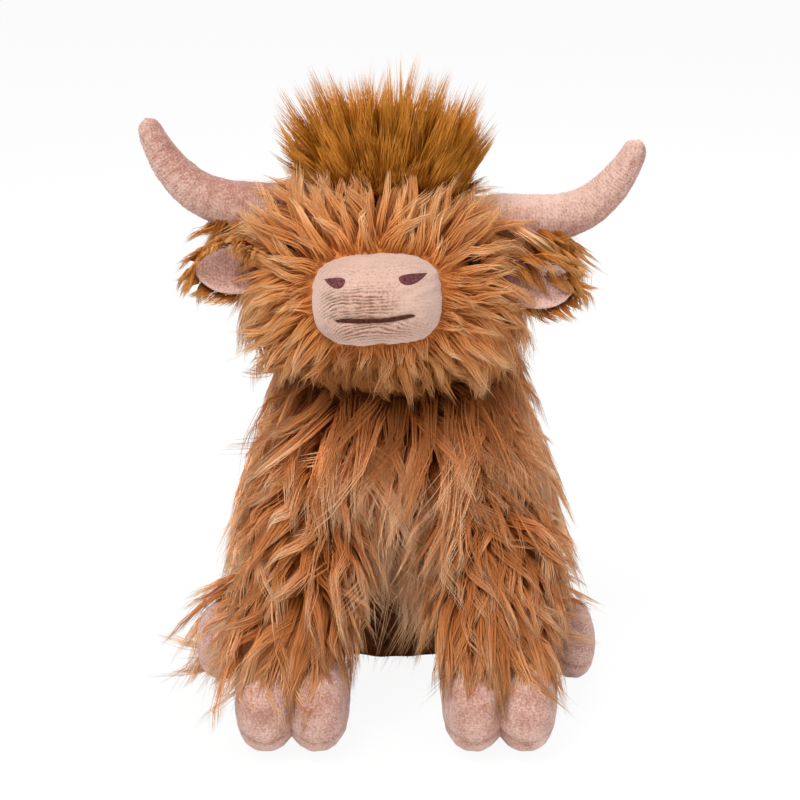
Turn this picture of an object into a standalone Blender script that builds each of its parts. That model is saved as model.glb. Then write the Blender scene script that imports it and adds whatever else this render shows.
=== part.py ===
"""Seated plush highland cow: long-pile coat over stuffed forms, with short-nap muzzle, horns, ears and hooves.

Metres, +Z up, the toy faces -Y and its own left side is at +X. The origin is the centre of the flat seat.
The coat's forms are the mean surface of its pile. Every cover is a shell of cloth, open where it is sewn to
the next piece, round a separate filling.
"""

import math

import bmesh
import bpy
import numpy as np
from mathutils import Matrix, Vector

# Cloth and the gaps between pieces
COAT = 0.010
NAP = 0.002
CLEARANCE = 0.0003
SWEEP_CLEARANCE = 0.0007
NECK_CLEARANCE = 0.0016
OVERRUN = 0.02
FLAT_DEPTH = 0.0005
POLE = 1e-6

# Torso: a sack that leans forward from the seat to the neck
TORSO_HEIGHT = 0.195
TORSO_HALF_WIDTH = 0.086
TORSO_HALF_DEPTH = 0.070
TORSO_LEAN = 0.048
# Height, half width, half depth and lean of each station, as shares of the four sizes above
TORSO_SHARES = (
    (0.00, 0.77, 0.80, 0.00),
    (0.06, 0.93, 0.93, 0.00),
    (0.18, 1.00, 1.00, 0.04),
    (0.36, 0.97, 0.99, 0.26),
    (0.54, 0.88, 0.94, 0.56),
    (0.72, 0.77, 0.84, 0.83),
    (0.87, 0.64, 0.68, 0.97),
    (0.96, 0.50, 0.52, 1.00),
    (1.00, 0.36, 0.40, 1.00),
)
PELLETS_HALF_WIDTH = 0.052
PELLETS_HALF_DEPTH = 0.042
PELLETS_HEIGHT = 0.026

# Head: a rounded block with its nose up, turned a little to the toy's right
HEAD_HALF_WIDTH = 0.065
HEAD_HALF_DEPTH = 0.057
HEAD_HALF_HEIGHT = 0.051
HEAD_AHEAD = 0.070
HEAD_HEIGHT = 0.205
HEAD_ASIDE = -0.006
HEAD_SQUARENESS = 2.25
HEAD_TURN = math.radians(-3.5)
HEAD_NOSE_UP = math.radians(12)
HEAD_ROLL = math.radians(-1.8)

# Muzzle: a cushion on the face
MUZZLE_HALF_WIDTH = 0.0305
MUZZLE_HALF_HEIGHT = 0.0215
MUZZLE_REACH = 0.020
MUZZLE_HALF_DEPTH = 0.032
MUZZLE_SQUARENESS = 2.5
MUZZLE_CROWN = 2.3
MUZZLE_ROLL = math.radians(5)
NOSTRIL_HALF_WIDTH = 0.0062
NOSTRIL_HALF_HEIGHT = 0.0030
NOSTRIL_SPREAD = 0.0172
NOSTRIL_RISE = 0.0095
NOSTRIL_SLOPE = math.radians(28)
MOUTH_WIDTH = 0.038
MOUTH_THREAD = 0.0018
MOUTH_DROP = 0.0078
STITCHES = 0.0009

# Eyes: 10 mm domes on stems, held by washers inside the cloth
EYE_RADIUS = 0.005
EYE_RISE = 0.0045
EYE_SEAT_DEPTH = 0.0045
EYE_STEM_RADIUS = 0.0018
EYE_STEM_LENGTH = 0.012
EYE_SIDE = 0.045
EYE_FORWARD = 0.036
EYE_UP = 0.023
WASHER_RADIUS = 0.0060
WASHER_THICKNESS = 0.0012

# Horns: out from the crown's sides, then up
HORN_RADIUS = 0.0118
HORN_REACH = 0.121
HORN_ROOT = 0.038
HORN_RISE = 0.081
HORN_ROOT_RISE = 0.037
HORN_BACK = 0.012
# Way out and up between root and tip, and thickness, as shares
HORN_SHARES = (
    (0.00, 0.00, 0.94),
    (0.20, 0.06, 1.00),
    (0.38, 0.07, 1.00),
    (0.55, 0.10, 0.97),
    (0.71, 0.22, 0.88),
    (0.84, 0.44, 0.76),
    (0.94, 0.72, 0.60),
    (0.985, 0.92, 0.44),
    (1.00, 1.00, 0.00),
)

# Topknot: a plume that stands on the crown
TOPKNOT_HEIGHT = 0.064
TOPKNOT_HALF_WIDTH = 0.052
TOPKNOT_HALF_DEPTH = 0.031
TOPKNOT_FORWARD = 0.017
TOPKNOT_ROOT = 0.012
TOPKNOT_SQUARENESS = 2.2
TOPKNOT_SHARES = (
    (0.00, 0.66),
    (0.14, 0.76),
    (0.34, 0.90),
    (0.56, 1.00),
    (0.76, 0.93),
    (0.91, 0.66),
    (1.00, 0.00),
)

# Ears: cupped leaves under the horns
EAR_LENGTH = 0.031
EAR_HALF_HEIGHT = 0.0130
EAR_CUP = 0.006
EAR_BACK_THICKNESS = 0.004
EAR_LINING_INSET = 0.0015
EAR_DROOP = math.radians(5)
# The right ear, at -1, is turned further forward than the left one
EAR_SWEEPS = {1: math.radians(4), -1: math.radians(-28)}
EAR_RISE = 0.011
EAR_AHEAD = 0.015
EAR_ROOT_DEPTH = 0.006
EAR_SHARES = (
    (0.00, 0.62),
    (0.22, 0.86),
    (0.45, 1.00),
    (0.70, 0.90),
    (0.88, 0.60),
    (1.00, 0.16),
)
EAR_LIFT = math.radians(5)
EAR_FLOP = math.radians(30)

# Front legs: hang from the shoulders to hooves that stand ahead of the body
SHOULDER_HEIGHT = 0.128
SHOULDER_SPREAD = 0.042
SHOULDER_DEPTH = 0.008
FRONT_LEG_HALF_WIDTH = 0.0285
FRONT_LEG_ROOT = 0.022
FRONT_FOOT_SPREAD = 0.050
FRONT_FOOT_AHEAD = 0.146
FRONT_ANKLE_HEIGHT = 0.030
FRONT_BACKWARD = math.radians(5)
FRONT_FORWARD = math.radians(45)

# Hind legs: lie on the ground beside the body
HIP_SPREAD = 0.055
HIP_BACK = 0.010
HIND_LEG_HALF_WIDTH = 0.0245
HIND_LEG_HEIGHT = 0.0245
HIND_LEG_ROOT = 0.018
HIND_FOOT_SPREAD = 0.082
HIND_FOOT_AHEAD = 0.068
HIND_INWARD = math.radians(5)
HIND_OUTWARD = math.radians(25)

# How the legs swell and taper from root to ankle: way along, thickness
FRONT_LEG_SHARES = (
    (0.00, 0.00),
    (0.06, 0.46),
    (0.16, 0.74),
    (0.32, 0.92),
    (0.52, 1.00),
    (0.72, 0.97),
    (0.87, 0.86),
    (0.95, 0.62),
    (1.00, 0.00),
)
LEG_SHARES = (
    (0.00, 0.00),
    (0.05, 0.62),
    (0.14, 0.92),
    (0.30, 1.00),
    (0.50, 0.97),
    (0.70, 0.92),
    (0.86, 0.84),
    (0.95, 0.62),
    (1.00, 0.00),
)

# Hooves: two lobes with a cleft
FRONT_LOBE_HALF_WIDTH = 0.0155
FRONT_LOBE_SPREAD = 0.0122
FRONT_HOOF_HALF_LENGTH = 0.0300
FRONT_HOOF_HEIGHT = 0.0440
HIND_LOBE_HALF_WIDTH = 0.0120
HIND_LOBE_SPREAD = 0.0090
HIND_HOOF_HALF_LENGTH = 0.0210
HIND_HOOF_HEIGHT = 0.0370
LOBE_SQUARENESS = 2.3

# Tail: hangs behind and ends in a tuft on the ground
TAIL_HEIGHT = 0.046
TAIL_RADIUS = 0.0070
TAIL_REACH = 0.020
TAIL_ROOT = 0.012
TAIL_ASIDE = 0.016
TUFT_RADIUS = 0.0110
TUFT_LENGTH = 0.042
TUFT_SHARES = (
    (0.00, 0.00),
    (0.06, 0.50),
    (0.20, 0.84),
    (0.42, 1.00),
    (0.66, 0.86),
    (0.86, 0.52),
    (1.00, 0.00),
)
TAIL_SWEEP = math.radians(25)

NECK_TURN = math.radians(15)

# Sides of a round form and rings along it, outside and inside
BODY_SIDES = 32
BODY_RINGS = 15
INNER_SIDES = 20
INNER_RINGS = 10
LIMB_SIDES = 16
LIMB_RINGS = 11
INNER_LIMB_SIDES = 12
INNER_LIMB_RINGS = 8
HORN_SIDES = 14
INNER_HORN_SIDES = 10
HORN_RINGS = 14
MUZZLE_SIDES = 24
MUZZLE_RINGS = 13
NOSTRIL_SIDES = 14
MOUTH_STEPS = 15
TOPKNOT_SIDES = 22
EAR_RINGS = 9
EAR_STEPS = 7
LOBE_RINGS = 9
EYE_SIDES = 12
DOME_RINGS = 5
TAIL_SIDES = 12

SIDES = (("left", 1), ("right", -1))
X = Vector((1, 0, 0))
Y = Vector((0, 1, 0))
Z = Vector((0, 0, 1))


# Curves and rings


def resample(table, count):
    """Rows read at even steps along the Catmull-Rom curve through a table's rows."""
    table = np.asarray(table, float)
    padded = np.vstack([2 * table[0] - table[1], table, 2 * table[-1] - table[-2]])
    way = np.linspace(0, len(table) - 1, count)
    start = np.minimum(way.astype(int), len(table) - 2)
    part = (way - start)[:, None]
    a, b, c, d = (padded[start + k] for k in range(4))
    bend = 2 * a - 5 * b + 4 * c - d
    return b + 0.5 * part * ((c - a) + part * (bend + part * (3 * (b - c) + d - a)))


def unit_ring(sides, squareness):
    """Cosine and sine round a superellipse: 2 is an ellipse, and more is squarer."""
    angle = np.arange(sides) * 2 * math.pi / sides
    cosine, sine = np.cos(angle), np.sin(angle)
    power = 2 / squareness
    return np.sign(cosine) * np.abs(cosine) ** power, np.sign(sine) * np.abs(sine) ** power


def rings_along(centres, across, up, half_widths, half_heights, sides, squareness=2):
    """A ring at each centre, in the plane of across and up. All are arrays with a row for each ring."""
    cosine, sine = unit_ring(sides, squareness)
    wide = (half_widths[:, None] * cosine)[:, :, None] * np.asarray(across)[..., None, :]
    high = (half_heights[:, None] * sine)[:, :, None] * np.asarray(up)[..., None, :]
    return np.asarray(centres)[:, None, :] + wide + high


def superellipsoid(half, rings, sides, plan_squareness, crown):
    """Rings from the lowest to the highest Z of a round block with these half sizes."""
    latitude = np.linspace(-math.pi / 2, math.pi / 2, rings)
    rise = np.sign(latitude) * np.abs(np.sin(latitude)) ** (2 / crown)
    reach = np.maximum(np.cos(latitude), 0) ** (2 / crown)
    centres = np.outer(half[2] * rise, Z)
    return rings_along(centres, X, Y, half[0] * reach, half[1] * reach, sides, plan_squareness)


def moved(rings, matrix):
    """The rings' points under a 4 by 4 matrix."""
    matrix = np.array(matrix)
    return rings @ matrix[:3, :3].T + matrix[:3, 3]


# Solids, cuts and places


def solid(name, rings):
    """Closed mesh through rings. An end ring drawn in to a point is a pole, and any other end is a flat face."""
    mesh = bmesh.new()
    rows = []
    for ring in rings:
        if np.ptp(ring, axis=0).max() < POLE:
            rows.append([mesh.verts.new(ring[0])])
        else:
            rows.append([mesh.verts.new(point) for point in ring])
    for low, high in zip(rows, rows[1:]):
        sides = max(len(low), len(high))
        for k in range(sides):
            corners = [low[k % len(low)], low[(k + 1) % len(low)], high[(k + 1) % len(high)], high[k % len(high)]]
            mesh.faces.new(list(dict.fromkeys(corners)))
    for end in (rows[0], rows[-1]):
        if len(end) > 1:
            mesh.faces.new(end)
    bmesh.ops.recalc_face_normals(mesh, faces=mesh.faces[:])
    data = bpy.data.meshes.new(name)
    mesh.to_mesh(data)
    mesh.free()
    obj = bpy.data.objects.new(name, data)
    bpy.context.collection.objects.link(obj)
    return obj


def cutter(rings):
    """A solid that only cuts or joins others."""
    obj = solid("cutter", rings)
    obj.hide_render = True
    obj.display_type = "WIRE"
    return obj


def evaluated_mesh(obj):
    """A new mesh of the object with its modifiers applied."""
    bpy.context.view_layer.update()
    depsgraph = bpy.context.evaluated_depsgraph_get()
    return bpy.data.meshes.new_from_object(obj.evaluated_get(depsgraph))


def keep_largest(mesh):
    """Deletes the loose crumbs that a cut leaves beside the main body."""
    work = bmesh.new()
    work.from_mesh(mesh)
    unseen, bodies = set(work.verts), []
    while unseen:
        body, front = set(), [unseen.pop()]
        while front:
            vert = front.pop()
            body.add(vert)
            for edge in vert.link_edges:
                other = edge.other_vert(vert)
                if other in unseen:
                    unseen.discard(other)
                    front.append(other)
        bodies.append(body)
    bodies.sort(key=len)
    crumbs = [vert for body in bodies[:-1] for vert in body]
    bmesh.ops.delete(work, geom=crumbs, context="VERTS")
    work.to_mesh(mesh)
    work.free()


def combine(obj, others, operation="DIFFERENCE"):
    """Cuts the other solids from the object, or joins them to it, and removes them."""
    for other in others:
        modifier = obj.modifiers.new("combine", "BOOLEAN")
        modifier.operation = operation
        modifier.solver = "EXACT"
        modifier.object = other
    mesh = evaluated_mesh(obj)
    obj.modifiers.clear()
    obj.data = mesh
    keep_largest(mesh)
    for other in others:
        bpy.data.objects.remove(other)
    return obj


def turned(rings, pivot, axis, angles):
    """Copies of the rings turned about an axis through the pivot, one for each angle."""
    there, back = Matrix.Translation(pivot), Matrix.Translation(-Vector(pivot))
    return [moved(rings, there @ Matrix.Rotation(angle, 4, axis) @ back) for angle in angles]


def swept(rings_at, pivot, axis, low, high, steps):
    """Cutters of what a limb moves past: close to it at rest, and further off where it swings.

    rings_at gives the neighbour's rings grown by a gap. The limb turns by low to high, so the neighbour
    turns the other way round it.
    """
    angles = [-angle for angle in np.linspace(low, high, steps)]
    copies = turned(rings_at(SWEEP_CLEARANCE), pivot, axis, angles)
    return [cutter(rings_at(CLEARANCE))] + [cutter(copy) for copy in copies]


def empty_at(name, matrix):
    """An empty that carries a moving body and stands on its joint."""
    empty = bpy.data.objects.new(name, None)
    empty.matrix_world = matrix
    bpy.context.collection.objects.link(empty)
    return empty


def finish(obj, name, material, parent):
    """Names a piece, gives it its material and hangs it on its body's empty, without moving it."""
    obj.name = name
    obj.data.name = name
    obj.data.materials.clear()
    obj.data.materials.append(material)
    bpy.context.view_layer.update()
    obj.data.transform(parent.matrix_world.inverted())
    obj.parent = parent
    obj.data.shade_smooth()
    obj.data.set_sharp_from_angle(angle=math.radians(40))
    return obj


def new_material(name, colour, roughness):
    """A Principled material in one linear colour."""
    material = bpy.data.materials.new(name)
    material.use_nodes = True
    shader = material.node_tree.nodes["Principled BSDF"]
    shader.inputs["Base Color"].default_value = (*colour, 1)
    shader.inputs["Roughness"].default_value = roughness
    return material


# Torso


def torso_section(height):
    """Half width, half depth and centre's Y of the torso at a height."""
    table = resample(TORSO_SHARES, 8 * len(TORSO_SHARES))
    share = height / TORSO_HEIGHT
    wide, deep, lean = (np.interp(share, table[:, 0], table[:, k]) for k in (1, 2, 3))
    return TORSO_HALF_WIDTH * wide, TORSO_HALF_DEPTH * deep, -TORSO_LEAN * lean


def torso_rings(grow, sides=BODY_SIDES, rings=BODY_RINGS, over_top=0.0, bottom=0.0):
    """The torso grown by a gap, from a bottom height up to the neck."""
    bands = resample(np.array(TORSO_SHARES)[:, :1], rings)[:, 0]
    heights = bottom + bands * (TORSO_HEIGHT - bottom)
    half_widths, half_depths, middles = torso_section(heights)
    heights = heights + np.where(bands == 1, over_top, 0)
    centres = np.stack([0 * heights, middles, heights], 1)
    return rings_along(centres, X, Y, half_widths + grow, half_depths + grow, sides)


def torso_cutter(grow):
    """The torso with a gap all round, for what meets it from outside."""
    return torso_rings(grow, over_top=grow, bottom=-grow)


def torso_front(height, aside):
    """Y of the torso's front at a height, aside from the middle."""
    half_width, half_depth, middle = torso_section(height)
    return middle - half_depth * math.sqrt(1 - (aside / half_width) ** 2)


def make_torso(materials, body):
    """The cover, its filling and the pellet bag in the seat."""
    skin = solid("body_skin", torso_rings(0))
    hollow = torso_rings(-COAT, INNER_SIDES, INNER_RINGS, over_top=OVERRUN, bottom=COAT)
    combine(skin, [cutter(hollow)])
    finish(skin, "body_skin", materials["coat"], body)

    inset = COAT + CLEARANCE
    filling = solid("body_filling", torso_rings(-inset, INNER_SIDES, INNER_RINGS, bottom=inset))

    def pellets(grow):
        half = (PELLETS_HALF_WIDTH + grow, PELLETS_HALF_DEPTH + grow, PELLETS_HEIGHT + grow)
        rings = superellipsoid(half, INNER_RINGS - 1, LIMB_SIDES, 2, 2)
        upper = rings[len(rings) // 2:]
        return moved(upper, Matrix.Translation((0, 0, inset)))

    recess = np.concatenate([pellets(CLEARANCE)[:1] - (0, 0, OVERRUN), pellets(CLEARANCE)])
    combine(filling, [cutter(recess)])
    finish(filling, "body_filling", materials["filling"], body)
    finish(solid("pellet_bag", pellets(0)), "pellet_bag", materials["lining"], body)


# Head


HEAD_POSE = (
    Matrix.Translation((HEAD_ASIDE, -HEAD_AHEAD, HEAD_HEIGHT))
    @ Matrix.Rotation(HEAD_TURN, 4, "Z")
    @ Matrix.Rotation(-HEAD_NOSE_UP, 4, "X")
    @ Matrix.Rotation(-HEAD_ROLL, 4, "Y")
)
NECK = Vector((0, -TORSO_LEAN, TORSO_HEIGHT))


def head_halves(grow):
    """The head's half sizes, grown."""
    return HEAD_HALF_WIDTH + grow, HEAD_HALF_DEPTH + grow, HEAD_HALF_HEIGHT + grow


def head_local(grow, sides=BODY_SIDES, rings=BODY_RINGS):
    """The head's rings in its own frame, grown by a gap."""
    return superellipsoid(head_halves(grow), rings, sides, HEAD_SQUARENESS, HEAD_SQUARENESS)


def head_rings(grow, sides=BODY_SIDES, rings=BODY_RINGS):
    """The head's rings in place."""
    return moved(head_local(grow, sides, rings), HEAD_POSE)


def on_head(direction, grow=0.0):
    """The point of the head's surface, in its own frame, that lies in a direction from its centre."""
    ratios = [abs(d / half) ** HEAD_SQUARENESS for d, half in zip(direction, head_halves(grow))]
    return Vector(direction) / sum(ratios) ** (1 / HEAD_SQUARENESS)


def head_normal(point):
    """Outward normal of the head's surface at a point in its own frame."""
    power = HEAD_SQUARENESS - 1
    slopes = [math.copysign((abs(p) / h) ** power / h, p) for p, h in zip(point, head_halves(0))]
    return Vector(slopes).normalized()


def head_cutters():
    """The head with a gap, for what is sewn on to it."""
    return [cutter(head_rings(CLEARANCE))]


def neck_socket():
    """The room that the torso takes in the head at every angle of the neck.

    Round the neck's axis, each ring reaches as far as the torso's ellipse does at any of its turns: the reach
    along a ray is the further root of the ellipse's equation. The flat top only keeps a gap.
    """
    low = HEAD_HEIGHT - HEAD_HALF_HEIGHT - OVERRUN
    heights = low + (TORSO_HEIGHT - low) * np.linspace(0, 1, INNER_RINGS)
    half_widths, half_depths, middles = (row[:, None] for row in torso_section(heights))
    offset = middles - NECK.y
    angle = np.arange(BODY_SIDES) * 2 * math.pi / BODY_SIDES
    reach = 0
    for turn in np.linspace(-NECK_TURN, NECK_TURN, 5):
        across, along = np.cos(angle - turn), np.sin(angle - turn)
        square = (across / half_widths) ** 2 + (along / half_depths) ** 2
        linear = offset * along / half_depths ** 2
        rest = (offset / half_depths) ** 2 - 1
        reach = np.maximum(reach, (linear + np.sqrt(linear ** 2 - square * rest)) / square)
    reach = (reach + NECK_CLEARANCE)[..., None]
    heights[-1] += CLEARANCE
    middle = np.stack([0 * heights, NECK.y + 0 * heights, heights], 1)[:, None]
    return cutter(middle + reach * np.stack([np.cos(angle), np.sin(angle), 0 * angle], 1))


def eye_frame(sign):
    """Matrix with its Z axis along an eye's stem and its origin on the seat under the dome."""
    point = on_head((sign * EYE_SIDE, -EYE_FORWARD, EYE_UP))
    normal = head_normal(point)
    turn = Z.rotation_difference(normal).to_matrix().to_4x4()
    return HEAD_POSE @ Matrix.Translation(point - EYE_SEAT_DEPTH * normal) @ turn


def lathe(profile, sides, matrix):
    """Rings turned about Z from a list of height and radius, moved by a matrix."""
    profile = np.array(profile)
    centres = np.outer(profile[:, 0], Z)
    return moved(rings_along(centres, X, Y, profile[:, 1], profile[:, 1], sides), matrix)


def eye_profile(grow):
    """Stem and dome, grown by a gap."""
    dome = [
        (EYE_RISE * math.sin(angle) + grow, (EYE_RADIUS + grow) * math.cos(angle))
        for angle in np.linspace(0, math.pi / 2, DOME_RINGS)
    ]
    dome[-1] = (EYE_RISE + grow, 0)
    stem = EYE_STEM_RADIUS + grow
    return [(-EYE_STEM_LENGTH - grow, stem), (-grow, stem), (-grow, EYE_RADIUS + grow)] + dome


def washer_profile(grow, inward=0.0, outward=0.0):
    """The washer's outer wall, grown by a gap, and run on inward or outward along the stem."""
    low, high = washer_span()
    radius = WASHER_RADIUS + grow
    return [(low - grow - inward, radius), (high + grow + outward, radius)]


def washer_span():
    """Heights of a washer's faces along the stem: it is pressed against the coat's inner face."""
    high = EYE_SEAT_DEPTH - COAT - CLEARANCE
    return high - WASHER_THICKNESS, high


def make_head(materials, head):
    """The cover with its filling, and the eyes with their washers."""
    skin = solid("head_skin", head_rings(0))
    cuts = [cutter(head_rings(-COAT, INNER_SIDES, INNER_RINGS)), neck_socket()]
    for name, sign in SIDES:
        cuts.append(cutter(lathe(eye_profile(CLEARANCE), EYE_SIDES, eye_frame(sign))))
        cuts.append(cutter(lathe(washer_profile(CLEARANCE, inward=OVERRUN), EYE_SIDES, eye_frame(sign))))
    combine(skin, cuts)
    finish(skin, "head_skin", materials["coat"], head)

    filling = solid("head_filling", head_rings(-COAT - CLEARANCE, INNER_SIDES, INNER_RINGS))
    cuts = [neck_socket()]
    for name, sign in SIDES:
        cuts.append(cutter(lathe(washer_profile(CLEARANCE, outward=OVERRUN), EYE_SIDES, eye_frame(sign))))
        cuts.append(cutter(lathe(eye_profile(CLEARANCE), EYE_SIDES, eye_frame(sign))))
    combine(filling, cuts)
    finish(filling, "head_filling", materials["filling"], head)

    for name, sign in SIDES:
        eye = solid("eye", lathe(eye_profile(0), EYE_SIDES, eye_frame(sign)))
        finish(eye, f"eye_{name}", materials["eye"], head)
        washer = solid("washer", lathe(washer_profile(0), EYE_SIDES, eye_frame(sign)))
        hole = EYE_STEM_RADIUS + CLEARANCE
        low, high = washer_span()
        bore = [(low - OVERRUN, hole), (high + OVERRUN, hole)]
        combine(washer, [cutter(lathe(bore, EYE_SIDES, eye_frame(sign)))])
        finish(washer, f"eye_washer_{name}", materials["washer"], head)


# Muzzle


MUZZLE_BACKSET = HEAD_HALF_DEPTH + MUZZLE_REACH - MUZZLE_HALF_DEPTH
# The muzzle's own frame has its front at +Z and its top at +Y
MUZZLE_POSE = (
    HEAD_POSE
    @ Matrix.Translation((0, -MUZZLE_BACKSET, 0))
    @ Matrix.Rotation(math.pi / 2, 4, "X")
    @ Matrix.Rotation(MUZZLE_ROLL, 4, "Z")
)


def muzzle_rings(grow, sides=MUZZLE_SIDES, rings=MUZZLE_RINGS):
    """The muzzle's cushion, grown by a gap."""
    half = (MUZZLE_HALF_WIDTH + grow, MUZZLE_HALF_HEIGHT + grow, MUZZLE_HALF_DEPTH + grow)
    return moved(superellipsoid(half, rings, sides, MUZZLE_SQUARENESS, MUZZLE_CROWN), MUZZLE_POSE)


def on_muzzle(across, up, grow):
    """Points of the muzzle's front face, grown by a gap, at places across and up it."""
    wide = np.abs(across / (MUZZLE_HALF_WIDTH + grow)) ** MUZZLE_SQUARENESS
    high = np.abs(up / (MUZZLE_HALF_HEIGHT + grow)) ** MUZZLE_SQUARENESS
    radius = (wide + high) ** (1 / MUZZLE_SQUARENESS)
    ahead = (MUZZLE_HALF_DEPTH + grow) * (1 - radius ** MUZZLE_CROWN) ** (1 / MUZZLE_CROWN)
    return moved(np.stack([across, up, ahead], -1), MUZZLE_POSE)


def patch(name, across, up):
    """A stitched patch on the muzzle: rings of places across and up, from its middle to its edge."""
    outer = on_muzzle(across, up, CLEARANCE + STITCHES)
    inner = on_muzzle(across, up, CLEARANCE)
    return solid(name, np.concatenate([outer, inner[::-1]]))


def make_muzzle(materials, head):
    """The cushion's cover and filling, the nostrils and the mouth."""
    skin = solid("muzzle_skin", muzzle_rings(0))
    combine(skin, [cutter(muzzle_rings(-NAP, INNER_SIDES, INNER_RINGS))] + head_cutters())
    finish(skin, "muzzle_skin", materials["muzzle"], head)
    filling = solid("muzzle_filling", muzzle_rings(-NAP - CLEARANCE, INNER_SIDES, INNER_RINGS))
    combine(filling, head_cutters())
    finish(filling, "muzzle_filling", materials["filling"], head)

    steps = np.array([0, 0.5, 1])[:, None]
    for name, sign in SIDES:
        cosine, sine = unit_ring(NOSTRIL_SIDES, 2)
        along = NOSTRIL_HALF_WIDTH * cosine * steps
        high = NOSTRIL_HALF_HEIGHT * sine * steps
        slope = sign * NOSTRIL_SLOPE
        across = sign * NOSTRIL_SPREAD + along * math.cos(slope) - high * math.sin(slope)
        up = NOSTRIL_RISE + along * math.sin(slope) + high * math.cos(slope)
        nostril = patch("nostril", across, up)
        finish(nostril, f"nostril_{name}", materials["stitching"], head)
    across = MOUTH_WIDTH / 2 * np.linspace(-1, 1, MOUTH_STEPS)
    edges = [-MOUTH_DROP + edge * MOUTH_THREAD / 2 for edge in (-1, 1)]
    lower, upper = (
        [on_muzzle(across, edge + 0 * across, CLEARANCE + rise) for edge in edges] for rise in (0, STITCHES)
    )
    mouth = solid("mouth", np.stack([lower[0], lower[1], upper[1], upper[0]], 1))
    finish(mouth, "mouth", materials["stitching"], head)


# Horns


def horn_rings(sign, inset, sides, rings):
    """A horn's rings in place: its middle line goes out, then up."""
    table = resample(HORN_SHARES, rings)
    table[-1, 2] = 0
    out = HORN_ROOT + (HORN_REACH - HORN_ROOT - inset) * table[:, 0]
    rise = HORN_ROOT_RISE + (HORN_RISE - HORN_ROOT_RISE - inset) * table[:, 1]
    back = HORN_BACK * (1 - table[:, 1])
    centres = np.stack([out, back, rise], 1)
    tangents = np.gradient(centres, axis=0)
    tangents /= np.linalg.norm(tangents, axis=1)[:, None]
    across = np.cross(tangents, Y)
    across /= np.linalg.norm(across, axis=1)[:, None]
    up = np.cross(tangents, across)
    thickness = (HORN_RADIUS - inset) * np.maximum(table[:, 2], 0)
    placed = rings_along(centres, across, up, thickness, thickness, sides)
    placed[..., 0] *= sign
    return moved(placed, HEAD_POSE)


def make_horns(materials, head):
    """Each horn's cover and filling, sewn to the head."""
    for name, sign in SIDES:
        skin = solid("horn", horn_rings(sign, 0, HORN_SIDES, HORN_RINGS))
        hollow = cutter(horn_rings(sign, NAP, INNER_HORN_SIDES, HORN_RINGS - 3))
        combine(skin, [hollow] + head_cutters())
        finish(skin, f"horn_{name}_skin", materials["nap"], head)
        filling = solid("horn_filling", horn_rings(sign, NAP + CLEARANCE, INNER_HORN_SIDES, HORN_RINGS - 3))
        combine(filling, head_cutters())
        finish(filling, f"horn_{name}_filling", materials["filling"], head)


# Topknot


def make_topknot(materials, head):
    """The plume of long pile on the crown."""
    table = resample(TOPKNOT_SHARES, LIMB_RINGS + 1)
    table[-1, 1] = 0
    rise = HEAD_HALF_HEIGHT - TOPKNOT_ROOT + TOPKNOT_HEIGHT * table[:, 0]
    forward = -TOPKNOT_FORWARD * table[:, 0]
    centres = np.stack([0 * rise, forward, rise], 1)
    wide = TOPKNOT_HALF_WIDTH * table[:, 1]
    deep = TOPKNOT_HALF_DEPTH * table[:, 1]
    rings = moved(rings_along(centres, X, Y, wide, deep, TOPKNOT_SIDES, TOPKNOT_SQUARENESS), HEAD_POSE)
    cuts = [cutter(horn_rings(sign, -CLEARANCE, HORN_SIDES, HORN_RINGS)) for name, sign in SIDES]
    topknot = combine(solid("topknot", rings), head_cutters() + cuts)
    finish(topknot, "topknot", materials["topknot"], head)


# Ears


def ear_root(sign):
    """The ear's root, in the head's frame: on the side of the head, under the horn."""
    return on_head((sign * HEAD_HALF_WIDTH, -EAR_AHEAD, EAR_RISE))


def ear_leaf(sign, start, end, half_height, front, back):
    """A cupped leaf between two depths in front of its middle surface, in the world.

    Along it goes out, across it goes up, and its edges come forward by the square of their way across.
    """
    table = resample(EAR_SHARES, EAR_RINGS)
    along = start + (end - start) * table[:, 0]
    half = half_height * table[:, 1]
    out = Vector((sign * math.cos(EAR_DROOP), math.sin(EAR_SWEEPS[sign]), -math.sin(EAR_DROOP))).normalized()
    up = Vector((sign * math.sin(EAR_DROOP), 0, math.cos(EAR_DROOP)))
    ahead = out.cross(up) * -sign
    ahead = ahead if ahead.y < 0 else -ahead
    root = np.array(ear_root(sign))
    middles = root + np.outer(along, out)
    steps = np.linspace(-1, 1, EAR_STEPS)
    sheet = middles[:, None] + (half[:, None] * steps)[..., None] * np.array(up)
    cup = EAR_CUP * (half / half_height)[:, None] * steps ** 2
    near = sheet + (cup + front)[..., None] * np.array(ahead)
    far = sheet + (cup - back)[..., None] * np.array(ahead)
    return moved(np.concatenate([near, far[:, ::-1]], 1), HEAD_POSE)


def make_ears(materials, ears):
    """Each ear's furry back and its lining, on the ear's own body."""
    for name, sign in SIDES:
        pivot = HEAD_POSE @ ear_root(sign)
        low, high = (-EAR_LIFT, EAR_FLOP) if sign > 0 else (-EAR_FLOP, EAR_LIFT)
        back = solid("ear", ear_leaf(sign, -EAR_ROOT_DEPTH, EAR_LENGTH, EAR_HALF_HEIGHT, 0, EAR_BACK_THICKNESS))
        combine(back, swept(head_rings, pivot, "Y", low, high, 4))
        finish(back, f"ear_{name}_back", materials["coat"], ears[name])
        half = EAR_HALF_HEIGHT - EAR_LINING_INSET
        end = EAR_LENGTH - EAR_LINING_INSET
        leaf = ear_leaf(sign, -EAR_ROOT_DEPTH, end, half, CLEARANCE + NAP, -CLEARANCE)
        lining = combine(solid("lining", leaf), swept(head_rings, pivot, "Y", low, high, 4))
        finish(lining, f"ear_{name}_lining", materials["nap"], ears[name])


# Legs and hooves


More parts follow.
